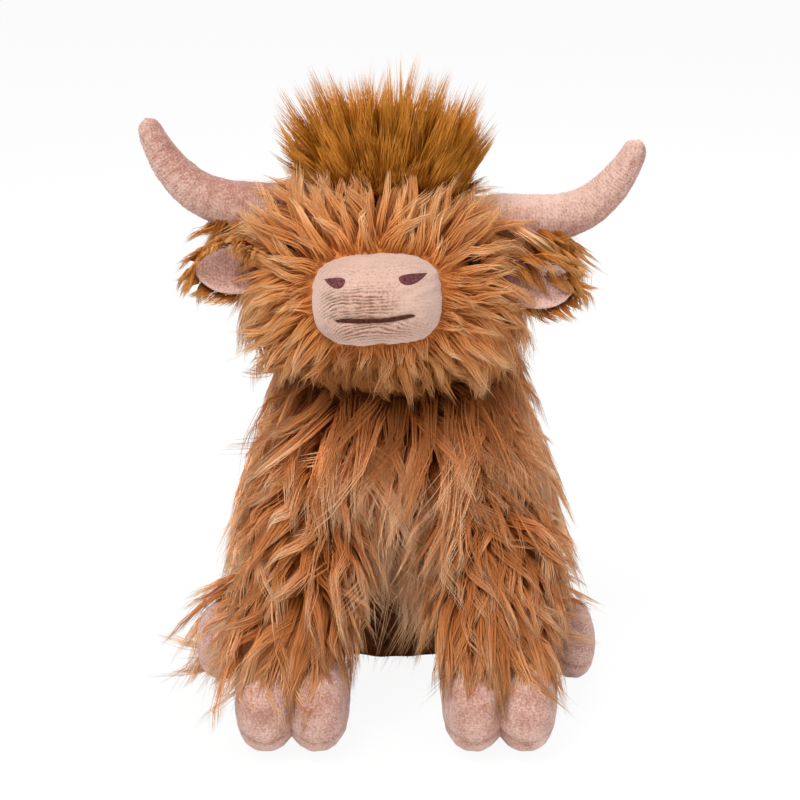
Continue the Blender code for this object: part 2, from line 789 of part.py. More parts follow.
def leg_rings(start, end, half_width, half_height, inset, sides, rings, shares=LEG_SHARES):
    """A leg's rings from its root to its ankle, rounded at both ends. Another table of shares swells otherwise."""
    start, end = Vector(start), Vector(end)
    way = (end - start).normalized()
    start, end = start + inset * way, end - inset * way
    table = resample(shares, rings)
    table[[0, -1], 1] = 0
    across = way.cross(Z).normalized()
    up = across.cross(way)
    centres = np.array(start) + np.outer(table[:, 0], end - start)
    wide = (half_width - inset) * table[:, 1]
    high = (half_height - inset) * table[:, 1]
    return rings_along(centres, across, up, wide, high, sides)


def lobe_rings(centre, half_width, half_length, height, grow, sides=HORN_SIDES, rings=LOBE_RINGS):
    """One lobe of a hoof, grown by a gap: a round block that points ahead, its middle on the centre."""
    half = (half_width + grow, (height + FLAT_DEPTH) / 2 + grow, half_length + grow)
    block = superellipsoid(half, rings, sides, LOBE_SQUARENESS, LOBE_SQUARENESS)
    place = Matrix.Translation((centre[0], centre[1], (height - FLAT_DEPTH) / 2))
    return moved(block, place @ Matrix.Rotation(math.pi / 2, 4, "X"))


def ground_cutter():
    """The ground under the toy."""
    half = 2 * (TORSO_HALF_WIDTH + FRONT_FOOT_AHEAD)
    centres = np.array([(0, 0, -OVERRUN), (0, 0, 0)])
    return cutter(rings_along(centres, X, Y, np.array([half] * 2), np.array([half] * 2), 4))


def hoof_lobes(hoof, grow):
    """Rings of both lobes of a hoof, given as centre, spread, half width, half length and height."""
    (x, y), spread, half_width, half_length, height = hoof
    return [lobe_rings((x + side * spread, y), half_width, half_length, height, grow) for side in (1, -1)]


def make_hoof(name, hoof, cuts, materials, leg):
    """Both lobes in one stuffed piece, with a cleft between them and a flat underside."""
    first, second = hoof_lobes(hoof, 0)
    piece = combine(solid("hoof", first), [cutter(second)], "UNION")
    combine(piece, cuts + [ground_cutter()])
    finish(piece, name, materials["nap"], leg)


def front_pivot(sign):
    """The shoulder, a little inside the torso's front."""
    front = torso_front(SHOULDER_HEIGHT, SHOULDER_SPREAD)
    return Vector((sign * SHOULDER_SPREAD, front + SHOULDER_DEPTH, SHOULDER_HEIGHT))


def hind_pivot(sign):
    """The hip, inside the torso's side."""
    return Vector((sign * HIP_SPREAD, HIP_BACK, HIND_LEG_HEIGHT))


def make_leg(name, span, halves, root, shares, cuts, hoof, materials, leg):
    """A leg's cover and filling between its pivot and ankle. cuts gives new cutters each time it is called."""
    start, end = span
    start = start - root * (end - start).normalized()

    def trims():
        return cuts() + [cutter(lobe) for lobe in hoof_lobes(hoof, CLEARANCE)]

    skin = solid("leg", leg_rings(start, end, *halves, 0, LIMB_SIDES, LIMB_RINGS, shares))
    hollow = leg_rings(start, end, *halves, COAT, INNER_LIMB_SIDES, INNER_LIMB_RINGS, shares)
    combine(skin, [cutter(hollow)] + trims())
    finish(skin, f"{name}_skin", materials["coat"], leg)
    inner = leg_rings(start, end, *halves, COAT + CLEARANCE, INNER_LIMB_SIDES, INNER_LIMB_RINGS, shares)
    filling = combine(solid("filling", inner), trims())
    finish(filling, f"{name}_filling", materials["filling"], leg)


def make_front_legs(materials, legs):
    """The legs that hang from the shoulders."""
    for name, sign in SIDES:
        pivot = front_pivot(sign)
        foot = (sign * FRONT_FOOT_SPREAD, -FRONT_FOOT_AHEAD)
        hoof = (foot, FRONT_LOBE_SPREAD, FRONT_LOBE_HALF_WIDTH, FRONT_HOOF_HALF_LENGTH, FRONT_HOOF_HEIGHT)
        leg = legs[f"front_leg_{name}"]
        halves = (FRONT_LEG_HALF_WIDTH, FRONT_LEG_HALF_WIDTH)

        def cuts():
            return swept(torso_cutter, pivot, "X", -FRONT_FORWARD, FRONT_BACKWARD, 6)

        span = (pivot, Vector((*foot, FRONT_ANKLE_HEIGHT)))
        make_leg(f"front_leg_{name}", span, halves, FRONT_LEG_ROOT, FRONT_LEG_SHARES, cuts, hoof, materials, leg)
        make_hoof(f"front_hoof_{name}", hoof, [], materials, leg)


def make_hind_legs(materials, legs):
    """The legs that lie beside the body, flat where they rest on the ground."""
    for name, sign in SIDES:
        pivot = hind_pivot(sign)
        foot = (sign * HIND_FOOT_SPREAD, -HIND_FOOT_AHEAD)
        hoof = (foot, HIND_LOBE_SPREAD, HIND_LOBE_HALF_WIDTH, HIND_HOOF_HALF_LENGTH, HIND_HOOF_HEIGHT)
        leg = legs[f"hind_leg_{name}"]
        halves = (HIND_LEG_HALF_WIDTH, HIND_LEG_HEIGHT + FLAT_DEPTH)
        low, high = (-HIND_INWARD, HIND_OUTWARD) if sign > 0 else (-HIND_OUTWARD, HIND_INWARD)

        def torso_cuts():
            return swept(torso_cutter, pivot, "Z", low, high, 4)

        def cuts():
            return torso_cuts() + [ground_cutter()]

        span = (pivot, Vector((*foot, HIND_LEG_HEIGHT)))
        make_leg(f"hind_leg_{name}", span, halves, HIND_LEG_ROOT, LEG_SHARES, cuts, hoof, materials, leg)
        make_hoof(f"hind_hoof_{name}", hoof, torso_cuts(), materials, leg)


# Tail


def tail_pivot():
    """The tail's root, on the torso's back."""
    half_width, half_depth, middle = torso_section(TAIL_HEIGHT)
    return Vector((0, middle + half_depth, TAIL_HEIGHT))


def make_tail(materials, tail):
    """The tail's plush tube and the tuft at its end."""
    pivot = tail_pivot()
    end = Vector((TAIL_ASIDE, pivot.y + TAIL_REACH, TUFT_RADIUS))
    start = pivot - TAIL_ROOT * (end - pivot).normalized()
    lie = Vector((TAIL_ASIDE, TAIL_REACH / 2, 0)).normalized()

    def tuft(grow):
        halves = (TUFT_RADIUS, TUFT_RADIUS + FLAT_DEPTH)
        span = (end - TUFT_RADIUS * lie, end + (TUFT_LENGTH - TUFT_RADIUS) * lie)
        return leg_rings(*span, *halves, -grow, TAIL_SIDES, LOBE_RINGS, TUFT_SHARES)

    skin = solid("tail", leg_rings(start, end, TAIL_RADIUS, TAIL_RADIUS, 0, TAIL_SIDES, LOBE_RINGS))
    combine(skin, swept(torso_cutter, pivot, "Z", -TAIL_SWEEP, TAIL_SWEEP, 5) + [cutter(tuft(CLEARANCE))])
    finish(skin, "tail_skin", materials["coat"], tail)
    piece = combine(solid("tuft", tuft(0)), [ground_cutter()])
    finish(piece, "tail_tuft", materials["topknot"], tail)


def main():
    for obj in list(bpy.data.objects):
        bpy.data.objects.remove(obj)
    materials = {
        "coat": new_material("long_pile_ginger", (0.46, 0.18, 0.06), 0.85),
        "topknot": new_material("long_pile_ochre", (0.40, 0.15, 0.03), 0.85),
        "nap": new_material("short_nap_pink", (0.68, 0.42, 0.36), 0.9),
        "muzzle": new_material("short_nap_beige", (0.74, 0.52, 0.42), 0.9),
        "stitching": new_material("embroidery_brown", (0.12, 0.06, 0.06), 0.6),
        "eye": new_material("eye_gloss", (0.01, 0.006, 0.004), 0.08),
        "washer": new_material("washer_white", (0.8, 0.8, 0.78), 0.5),
        "filling": new_material("polyester_fibre", (0.85, 0.85, 0.83), 0.95),
        "lining": new_material("pellet_bag_cloth", (0.7, 0.68, 0.62), 0.9),
    }
    body = empty_at("seat", Matrix())
    head = empty_at("neck_turn_pivot", Matrix.Translation(NECK))
    ears, legs = {}, {}
    for name, sign in SIDES:
        ears[name] = empty_at(f"ear_{name}_pivot", Matrix.Translation(HEAD_POSE @ ear_root(sign)))
        ears[name].parent = head
        ears[name].matrix_parent_inverse = head.matrix_world.inverted()
        for limb, pivot in (("front_leg", front_pivot(sign)), ("hind_leg", hind_pivot(sign))):
            legs[f"{limb}_{name}"] = empty_at(f"{limb}_{name}_pivot", Matrix.Translation(pivot))
    tail = empty_at("tail_pivot", Matrix.Translation(tail_pivot()))

    make_torso(materials, body)
    make_head(materials, head)
    make_muzzle(materials, head)
    make_horns(materials, head)
    make_topknot(materials, head)
    make_ears(materials, ears)
    make_front_legs(materials, legs)
    make_hind_legs(materials, legs)
    make_tail(materials, tail)


main()
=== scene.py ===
"""Seated plush highland cow: a long-pile coat combed in locks round stuffed forms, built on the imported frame.

Metres, +Z up, the toy faces -Y and its own left side is at +X. Every form is a function of two parameters,
u round it and v along it, and repeats the sizes of the CAD part.
"""

import math
from collections import namedtuple

import bmesh
import bpy
import numpy as np
from bpy.props import FloatProperty, FloatVectorProperty, PointerProperty
from mathutils import Matrix, Vector


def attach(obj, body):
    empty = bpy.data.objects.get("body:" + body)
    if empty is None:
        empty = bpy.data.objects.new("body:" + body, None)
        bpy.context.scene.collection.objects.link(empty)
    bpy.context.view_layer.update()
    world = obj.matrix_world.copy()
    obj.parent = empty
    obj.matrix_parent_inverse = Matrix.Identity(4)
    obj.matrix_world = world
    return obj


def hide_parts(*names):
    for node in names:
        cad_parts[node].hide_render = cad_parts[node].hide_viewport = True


bl_info = {
    "name": "Plush highland cow",
    "version": (1, 0, 0),
    "blender": (4, 5, 0),
    "location": "3D View > Sidebar > Plush cow",
    "description": "Builds a seated long-pile plush highland cow round its packed frame",
    "category": "Add Mesh",
}

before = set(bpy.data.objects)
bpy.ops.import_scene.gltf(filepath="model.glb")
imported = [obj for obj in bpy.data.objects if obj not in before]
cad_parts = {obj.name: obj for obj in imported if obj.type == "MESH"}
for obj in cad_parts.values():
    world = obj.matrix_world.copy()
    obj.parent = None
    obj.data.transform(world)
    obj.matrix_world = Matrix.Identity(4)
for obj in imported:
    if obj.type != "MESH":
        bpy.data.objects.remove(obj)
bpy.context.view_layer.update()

Limb = namedtuple("Limb", "start end root half_width half_height shares")
Hoof = namedtuple("Hoof", "foot spread half_width half_length height")

# Torso
TORSO_HEIGHT = 0.195
TORSO_HALF_WIDTH = 0.086
TORSO_HALF_DEPTH = 0.070
TORSO_LEAN = 0.048
TORSO_SHARES = (
    (0.00, 0.77, 0.80, 0.00),
    (0.06, 0.93, 0.93, 0.00),
    (0.18, 1.00, 1.00, 0.04),
    (0.36, 0.97, 0.99, 0.26),
    (0.54, 0.88, 0.94, 0.56),
    (0.72, 0.77, 0.84, 0.83),
    (0.87, 0.64, 0.68, 0.97),
    (0.96, 0.50, 0.52, 1.00),
    (1.00, 0.36, 0.40, 1.00),
)

# Head and muzzle, with the matrices that place them
HEAD_HALVES = np.array((0.065, 0.057, 0.051))
HEAD_SQUARENESS = 2.25
HEAD_POSE = np.array(
    Matrix.Translation((-0.006, -0.070, 0.205))
    @ Matrix.Rotation(math.radians(-3.5), 4, "Z")
    @ Matrix.Rotation(math.radians(-12), 4, "X")
    @ Matrix.Rotation(math.radians(1.8), 4, "Y")
)
MUZZLE_HALVES = np.array((0.0305, 0.0215, 0.032))
MUZZLE_REACH = 0.020
MUZZLE_SQUARENESS = 3.0
MUZZLE_CROWN = 2.3
MUZZLE_POSE = HEAD_POSE @ np.array(
    Matrix.Translation((0, MUZZLE_HALVES[2] - MUZZLE_REACH - HEAD_HALVES[1], 0))
    @ Matrix.Rotation(math.pi / 2, 4, "X")
    @ Matrix.Rotation(math.radians(5), 4, "Z")
)
NOSTRIL_HALF_WIDTHS = {1: 0.0066, -1: 0.0054}
NOSTRIL_HALF_HEIGHT = 0.0048
NOSTRIL_PLACES = {1: (0.0186, 0.0112), -1: (-0.0176, 0.0108)}
NOSTRIL_SLOPES = {1: math.radians(4), -1: math.radians(1)}
MOUTH_WIDTH = 0.0372
MOUTH_DROP = 0.0078

# Eyes
EYE_RADIUS = 0.005
EYE_RISE = 0.0045
EYE_SEAT_DEPTH = 0.0045
EYE_STEM_RADIUS = 0.0018
EYE_STEM_LENGTH = 0.012
EYE_PLACE = np.array((0.045, -0.036, 0.023))

# Horns
HORN_RADIUS = 0.0118
HORN_ROOT = (0.038, 0.012, 0.037)
HORN_TIP = (0.121, 0.0, 0.081)
HORN_SHARES = (
    (0.00, 0.00, 0.94),
    (0.20, 0.06, 1.00),
    (0.38, 0.07, 1.00),
    (0.55, 0.10, 0.97),
    (0.71, 0.22, 0.88),
    (0.84, 0.44, 0.76),
    (0.94, 0.72, 0.60),
    (0.985, 0.92, 0.44),
    (1.00, 1.00, 0.00),
)

# Length of a horn along its middle line
HORN_ARC = 0.105

# Topknot
TOPKNOT_HEIGHT = 0.064
TOPKNOT_HALF_WIDTH = 0.052
TOPKNOT_HALF_DEPTH = 0.031
TOPKNOT_FORWARD = 0.017
TOPKNOT_ROOT = 0.012
HIGHEST = 0.327
TOPKNOT_SHARES = (
    (0.00, 0.66),
    (0.14, 0.76),
    (0.34, 0.90),
    (0.56, 1.00),
    (0.76, 0.93),
    (0.91, 0.66),
    (1.00, 0.00),
)

# Ears
EAR_LENGTH = 0.031
EAR_HALF_HEIGHT = 0.0130
EAR_CUP = 0.006
EAR_THICKNESS = 0.004
EAR_ROOT_DEPTH = 0.006
EAR_DROOP = math.radians(5)
EAR_SWEEPS = {1: math.radians(4), -1: math.radians(-28)}
EAR_ROOT = np.array((0.065, -0.015, 0.011))
EAR_AREA = 0.0012
EAR_BARE = 0.95
EAR_COVER = {1: 0.3, -1: 0.66}
EAR_SHARES = ((0.00, 0.62), (0.22, 0.86), (0.45, 1.00), (0.70, 0.90), (0.88, 0.60), (1.00, 0.16))

# Legs: shares of their thickness along them
FRONT_LEG_SHARES = (
    (0.00, 0.00),
    (0.06, 0.46),
    (0.16, 0.74),
    (0.32, 0.92),
    (0.52, 1.00),
    (0.72, 0.97),
    (0.87, 0.86),
    (0.95, 0.62),
    (1.00, 0.00),
)
LEG_SHARES = (
    (0.00, 0.00),
    (0.05, 0.62),
    (0.14, 0.92),
    (0.30, 1.00),
    (0.50, 0.97),
    (0.70, 0.92),
    (0.86, 0.84),
    (0.95, 0.62),
    (1.00, 0.00),
)
SHOULDER = (0.042, -0.07702, 0.128)
FRONT_FOOT = (0.050, -0.146)
FRONT_LEG = Limb(SHOULDER, (*FRONT_FOOT, 0.030), 0.022, 0.0285, 0.0285, FRONT_LEG_SHARES)
FRONT_HOOF = Hoof(FRONT_FOOT, 0.0122, 0.0155, 0.0300, 0.0440)
HIP = (0.055, 0.010, 0.0245)
HIND_FOOT = (0.082, -0.068)
HIND_LEG = Limb(HIP, (*HIND_FOOT, 0.0245), 0.018, 0.0245, 0.0250, LEG_SHARES)
HIND_HOOF = Hoof(HIND_FOOT, 0.0090, 0.0120, 0.0210, 0.0370)
LOBE_SQUARENESS = 2.3

# The fold across a hoof's toes: its height, and how far it waves
TOE_HEIGHT = 0.0135
TOE_WAVE = 0.0016

# Tail
TAIL_TOP = (0.0, 0.06559, 0.046)
TAIL_RADIUS = 0.0070
TAIL_ASIDE = 0.016
TAIL_REACH = 0.020
TAIL_ROOT = 0.012
TAIL_DEPTH = 0.003
TUFT_RADIUS = 0.0110
TUFT_LENGTH = 0.042
TUFT_DEPTH = 0.004
TUFT_SHARES = ((0.00, 0.00), (0.06, 0.50), (0.20, 0.84), (0.42, 1.00), (0.66, 0.86), (0.86, 0.52), (1.00, 0.00))

SIDES = (("left", 1), ("right", -1))
UP = np.array((0.0, 0.0, 1.0))
POLE = 1e-7
NAP_PERIOD = 0.0014

# Pile: gaps to the floor and the hooves, the head's cloth under its surface, where the comb turns aside, the
# furthest forward that it may reach, and the Y behind which it is thinner
FLOOR_GAP = 0.0012
OVER_HOOF = 0.0008
HEAD_DEPTH = 0.0055
FLOW_SPREAD = 0.052
FOREMOST = -0.189
BEHIND = 0.005

# The coat's side: its distance from the middle at a height, its growth downwards, and what is more at the left
COAT_SIDE = 0.069
COAT_HEIGHT = 0.13
COAT_SLOPE = 0.3
COAT_LEFT = 0.004

# Heights over which the chest's long locks begin, the topknot's span of v, and the hem's shares of a hoof's
# height and its reach round the hoof
CHEST_FOOT = (0.068, 0.088)
PLUME_SPAN = (0.1, 0.995)
HEM_SHARES = (0.48, 0.80)
HEM_REACH = 0.015

# Stuffing: depth of its lumps, their period, the remesh's voxel and the fill
FIBRE = (0.0012, 0.011, 0.0028, 0.6)
BAG = (0.0008, 0.005, 0.0014, 0.8)

# What a coat's style may change in comb and gather
COMB_HABITS = ("lift", "lie", "sway", "wave", "sag", "twist", "steps")
GATHER_HABITS = ("clump", "jitter", "loose")

# Stage: half the floor's side, and what the camera looks at, its elevation, distance and focal length in
# pixels of an 800 pixel frame
FLOOR_HALF = 6.0
CAMERA_TARGET = (0.002, -0.070, 0.150)
CAMERA_ELEVATION = math.radians(18)
CAMERA_DISTANCE = 1.1
CAMERA_FOCAL = 2200
FRAME_PIXELS = 800
SENSOR = 36.0


# Sizes and colours that a user would change


def linear(*shades):
    """Linear colour of a display colour given from 0 to 255."""
    shares = np.array(shades) / 255
    return tuple(np.where(shares <= 0.04045, shares / 12.92, ((shares + 0.055) / 1.055) ** 2.4))


def length_prop(name, description, default):
    return FloatProperty(name=name, description=description, default=default, min=0, unit="LENGTH", precision=5)


def colour_prop(name, description, *shades):
    default = linear(*shades)
    limits = {"subtype": "COLOR", "min": 0, "max": 1}
    return FloatVectorProperty(name=name, description=description, default=default, **limits)


class CowSizes(bpy.types.PropertyGroup):
    """Sizes of the pile."""

    coat: length_prop("Coat", "Length of the pile on the torso and legs", 0.034)
    face: length_prop("Face", "Length of the pile beside the muzzle", 0.012)
    cheek: length_prop("Cheek", "Length of the pile on the rest of the head", 0.031)
    fringe: length_prop("Fringe", "Length of the pile on the ears and under the horns", 0.024)
    strand: length_prop("Strand", "Radius of a strand at its root", 0.00025)
    lock: length_prop("Lock", "Distance between neighbouring locks", 0.0060)
    depth: length_prop("Depth", "Depth of the cloth under the pile's mean surface", 0.0075)
    density: FloatProperty(name="Density", description="Strands to a square millimetre", default=0.45, min=0)


class CowColours(bpy.types.PropertyGroup):
    """Colours of the finishes."""

    coat_root: colour_prop("Coat root", "Foot of the ginger pile", 178, 98, 36)
    coat_middle: colour_prop("Coat middle", "Middle of the ginger pile", 228, 148, 86)
    coat_tip: colour_prop("Coat tip", "Ends of the ginger pile", 248, 206, 162)
    # The head's roots are nearly as pale as its middles: partly the head's own paler pile, partly painted light
    # in the shaded gaps between its locks, also on the head's cloth
    face_root: colour_prop("Face root", "Foot of the pile on the head", 226, 144, 76)
    face_middle: colour_prop("Face middle", "Middle of the pile on the head", 230, 158, 94)
    face_tip: colour_prop("Face tip", "Ends of the pile on the head", 248, 204, 154)
    amber_root: colour_prop("Amber root", "Foot of the amber pile on the ears and under the horns", 142, 70, 10)
    amber_middle: colour_prop("Amber middle", "Middle of the amber pile", 208, 132, 56)
    amber_tip: colour_prop("Amber tip", "Ends of the amber pile", 240, 186, 120)
    topknot_root: colour_prop("Topknot root", "Foot of the ochre pile", 96, 42, 0)
    topknot_middle: colour_prop("Topknot middle", "Middle of the ochre pile", 168, 96, 8)
    topknot_tip: colour_prop("Topknot tip", "Ends of the ochre pile", 196, 130, 48)
    # The nap's shade colours paint shade in creases, hollows and undersides as well as darker tone of the nap's
    # own, and the nap colours made a quarter paler paint its highlights
    nap: colour_prop("Pink nap", "Horns, hooves and ear linings", 218, 181, 167)
    nap_shade: colour_prop("Pink nap shade", "Creases of the pink nap", 176, 126, 112)
    muzzle: colour_prop("Muzzle nap", "Pinky beige of the muzzle", 208, 172, 156)
    muzzle_shade: colour_prop("Muzzle shade", "Creases of the muzzle", 152, 104, 80)
    stitching: colour_prop("Stitching", "Nostrils", 102, 58, 60)
    mouth: colour_prop("Mouth", "Stitched line of the mouth", 76, 38, 24)
    eye: colour_prop("Eye", "Eye domes", 16, 8, 5)
    washer: colour_prop("Washer", "Moulded washers", 232, 232, 226)
    filling: colour_prop("Filling", "Polyester fibre", 238, 238, 234)
    bag: colour_prop("Bag", "Cloth of the pellet bag", 214, 208, 192)
    floor: colour_prop("Floor", "Floor", 250, 250, 250)

# Curves and forms


def resample(table, count):
    """Rows read at even steps along the Catmull-Rom curve through a table's rows."""
    table = np.asarray(table, float)
    padded = np.vstack([2 * table[0] - table[1], table, 2 * table[-1] - table[-2]])
    way = np.linspace(0, len(table) - 1, count)
    start = np.minimum(way.astype(int), len(table) - 2)
    part = (way - start)[:, None]
    a, b, c, d = (padded[start + k] for k in range(4))
    bend = 2 * a - 5 * b + 4 * c - d
    return b + 0.5 * part * ((c - a) + part * (bend + part * (3 * (b - c) + d - a)))


def read_share(shares, at, column=1):
    """A column of a table of shares, read smoothly at places along its first column."""
    table = resample(shares, 12 * len(shares))
    return np.interp(at, table[:, 0], np.maximum(table[:, column], 0))


def unit(ways):
    return ways / np.maximum(np.linalg.norm(ways, axis=-1, keepdims=True), 1e-12)


def vectors(x, y, z):
    """Vectors of three parts, each an array or one number for all."""
    return np.stack(np.broadcast_arrays(x, y, z), -1)


def placed(points, pose=HEAD_POSE):
    """Points under a 4 by 4 matrix."""
    return points @ pose[:3, :3].T + pose[:3, 3]


def turned(ways, pose=HEAD_POSE):
    """Directions under a 4 by 4 matrix."""
    return ways @ pose[:3, :3].T


def local(points, pose=HEAD_POSE):
    """Points in the frame of a 4 by 4 rigid matrix."""
    return (points - pose[:3, 3]) @ pose[:3, :3]


def smooth(low, high, value):
    """0 below low, 1 above high, and a smooth step between."""
    share = np.clip((value - low) / (high - low), 0, 1)
    return share * share * (3 - 2 * share)


def bell(*parts):
    """1 where each value is at its middle, falling off to 0 by its width. A part is value, middle and width."""
    return np.exp(-sum(((value - middle) / width) ** 2 for value, middle, width in parts))


def ripple(points, period, seed, waves=7):
    """Smooth noise from about -1 to 1: a sum of sine waves of nearly this period in drawn directions."""
    rng = np.random.default_rng(seed)
    directions = unit(rng.normal(size=(waves, 3))) * rng.uniform(0.7, 1.4, (waves, 1)) * 2 * math.pi / period
    sines = np.sin(points @ directions.T + rng.uniform(0, 2 * math.pi, waves))
    return sines.sum(-1) * 1.4 / math.sqrt(2 * waves)


def signed_power(value, power):
    return np.sign(value) * np.abs(value) ** power


def fullness(points, halves, squareness):
    """A superellipsoid's sum of powers: 1 on its surface and less inside it."""
    return (np.abs(points / halves) ** squareness).sum(-1)


def ellipse_ring(u):
    """Cosine and sine of a turn given as a share."""
    return np.cos(2 * math.pi * u), np.sin(2 * math.pi * u)


def sphere_ways(u, v):
    """Directions of a sphere, u round it and v from its lower to its upper pole."""
    cosine, sine = ellipse_ring(u)
    latitude = math.pi * (v - 0.5)
    return vectors(np.cos(latitude) * cosine, np.cos(latitude) * sine, np.sin(latitude))


def torso_section(height):
    """Half width, half depth and centre's Y of the torso at a height."""
    wide, deep, lean = (read_share(TORSO_SHARES, height / TORSO_HEIGHT, column) for column in (1, 2, 3))
    return TORSO_HALF_WIDTH * wide, TORSO_HALF_DEPTH * deep, -TORSO_LEAN * lean


def torso_form(u, v, inset=0.0):
    """Ellipses stacked from the seat to the neck."""
    cosine, sine = ellipse_ring(u)
    half_width, half_depth, middle = torso_section(v * TORSO_HEIGHT)
    return vectors((half_width - inset) * cosine, middle + (half_depth - inset) * sine, v * TORSO_HEIGHT)


def muzzle_form(u, v, inset=0.0):
    """The muzzle in its own frame: a squarish ring in plan, drawn in to a pole at either end of its Z axis."""
    latitude = math.pi * (v - 0.5)
    reach = np.maximum(np.cos(latitude), 0) ** (2 / MUZZLE_CROWN)
    rise = signed_power(np.sin(latitude), 2 / MUZZLE_CROWN)
    x, y = (reach * signed_power(part, 2 / MUZZLE_SQUARENESS) for part in ellipse_ring(u))
    return (MUZZLE_HALVES - inset) * vectors(x, y, rise)


def head_form(u, v, inset=0.0):
    """The head's rounded block in place: each direction of a sphere, drawn out to its surface."""
    ways = sphere_ways(u, v)
    reach = fullness(ways, 1, HEAD_SQUARENESS)[..., None] ** (1 / HEAD_SQUARENESS)
    return placed((HEAD_HALVES - inset) * ways / reach)


def tube_point(centres, tangents, side_hint, u, wide, high):
    """Points of ellipses at right angles to a middle line; u goes from the side to the upper direction."""
    up = unit(np.cross(tangents, side_hint))
    across = np.cross(up, tangents)
    cosine, sine = ellipse_ring(u)
    return centres + (wide * cosine)[..., None] * across + (high * sine)[..., None] * up


def limb_span(limb):
    """Start, moved back by the root's depth, and end of a limb's middle line, and its direction."""
    start, end = np.array(limb.start, float), np.array(limb.end, float)
    way = unit(end - start)
    return start - limb.root * way, end, way


def limb_form(limb, sign):
    """A limb as a function: ellipses along a straight line that swell and taper by the shares."""
    start, end, way = limb_span(limb)

    def form(u, v, inset=0.0):
        first, last = start + inset * way, end - inset * way
        thick = read_share(limb.shares, v)
        centres = first + v[..., None] * (last - first)
        halves = (limb.half_width - inset) * thick, (limb.half_height - inset) * thick
        return tube_point(centres, way, unit(np.cross(way, UP)), u * sign, *halves) * (sign, 1, 1)

    return form


def horn_form(sign):
    """A horn as a function: circles along a line that goes out, then up."""
    root, tip = np.array(HORN_ROOT), np.array(HORN_TIP)
    table = resample(HORN_SHARES, 120)
    table[-1, 2] = 0
    line = root + (tip - root) * table[:, (0, 1, 1)]
    slopes = unit(np.gradient(line, axis=0))
    way = np.linspace(0, 1, len(table))

    def form(u, v, inset=0.0):
        centres, tangents = (
            vectors(*(np.interp(v, way, rows[:, k]) for k in range(3))) for rows in (line, slopes)
        )
        thick = (HORN_RADIUS - inset) * np.interp(v, way, np.maximum(table[:, 2], 0))
        points = tube_point(centres, unit(tangents), np.array((0.0, 1.0, 0.0)), u * sign, thick, thick)
        return placed(points * (sign, 1, 1))

    return form


def topknot_form(u, v, inset=0.0):
    """The plume: ellipses that rise from the crown, lean forward and close at the top, in place."""
    cosine, sine = ellipse_ring(u)
    share = read_share(TOPKNOT_SHARES, v)
    x = (TOPKNOT_HALF_WIDTH - inset) * share * cosine
    y = (TOPKNOT_HALF_DEPTH - inset) * share * sine - TOPKNOT_FORWARD * v
    return placed(vectors(x, y, HEAD_HALVES[2] - TOPKNOT_ROOT + TOPKNOT_HEIGHT * v))


def ear_axes(sign):
    """An ear's root, outward, upward and forward directions in the head's frame."""
    out = unit(np.array((sign * math.cos(EAR_DROOP), math.sin(EAR_SWEEPS[sign]), -math.sin(EAR_DROOP))))
    up = np.array((sign * math.sin(EAR_DROOP), 0, math.cos(EAR_DROOP)))
    ahead = np.cross(out, up)
    ratios = fullness(EAR_ROOT, HEAD_HALVES, HEAD_SQUARENESS) ** (1 / HEAD_SQUARENESS)
    return EAR_ROOT * (sign, 1, 1) / ratios, out, up, ahead if ahead[1] < 0 else -ahead


def ear_sheet(sign, along, across, depth, widen=0.0):
    """A cupped leaf, in place: along it from 0 to 1, across it from -1 to 1, and depth before its middle."""
    root, out, up, ahead = ear_axes(sign)
    half = (EAR_HALF_HEIGHT + widen) * read_share(EAR_SHARES, along)
    reach = -EAR_ROOT_DEPTH + (EAR_LENGTH + widen + EAR_ROOT_DEPTH) * along
    cup = EAR_CUP * half / EAR_HALF_HEIGHT * across ** 2
    return placed(
        root + reach[..., None] * out + (half * across)[..., None] * up + (cup + depth)[..., None] * ahead
    )


# What lies inside what


def in_torso(points, grow):
    half_width, half_depth, middle = torso_section(points[:, 2])
    ring = (points[:, 0] / (half_width + grow)) ** 2 + ((points[:, 1] - middle) / (half_depth + grow)) ** 2
    return (ring < 1) & (points[:, 2] < TORSO_HEIGHT + grow)


def in_head(points, grow):
    return fullness(local(points), HEAD_HALVES + grow, HEAD_SQUARENESS) < 1


def in_muzzle(points, grow):
    ratios = np.abs(local(points, MUZZLE_POSE) / (MUZZLE_HALVES + grow))
    plan = (ratios[:, :2] ** MUZZLE_SQUARENESS).sum(-1) ** (MUZZLE_CROWN / MUZZLE_SQUARENESS)
    return plan + ratios[:, 2] ** MUZZLE_CROWN < 1


def to_left(points):
    """Points with those of the toy's right side mirrored to its left."""
    return np.column_stack([np.abs(points[:, 0]), points[:, 1:]])


def in_limb(limb, points, grow):
    """Whether points lie in either of a pair of mirrored legs."""
    start, end, way = limb_span(limb)
    offset = to_left(points) - start
    share = offset @ way / np.linalg.norm(end - start)
    thick = read_share(limb.shares, share)
    across = unit(np.cross(way, UP))
    up = np.cross(across, way)
    wide, high = limb.half_width * thick + grow, limb.half_height * thick + grow
    ring = (offset @ across / wide) ** 2 + (offset @ up / high) ** 2
    return (ring < 1) & (share > 0) & (share < 1) & (thick > 0.1)


def lobes(hoof, grow):
    """Middles of a left hoof's two lobes, and their half sizes."""
    x, y = hoof.foot
    middles = [np.array((x + side * hoof.spread, y, hoof.height / 2)) for side in (-1, 1)]
    return middles, np.array((hoof.half_width, hoof.half_length, hoof.height / 2)) + grow


def in_hoof(hoof, points, grow):
    """Whether points lie in either of a pair of mirrored hooves."""
    middles, halves = lobes(hoof, grow)
    first, second = (fullness(to_left(points) - middle, halves, LOBE_SQUARENESS) < 1 for middle in middles)
    return first | second


# Meshes


def link(name, mesh, material):
    mesh.materials.append(material)
    obj = bpy.data.objects.new(name, mesh)
    bpy.context.scene.collection.objects.link(obj)
    return obj


def place(obj, body, slot, *nodes):
    """Puts a piece on its body and hides the nodes that it stands for; its slot is not used."""
    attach(obj, body)
    if nodes:
        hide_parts(*nodes)


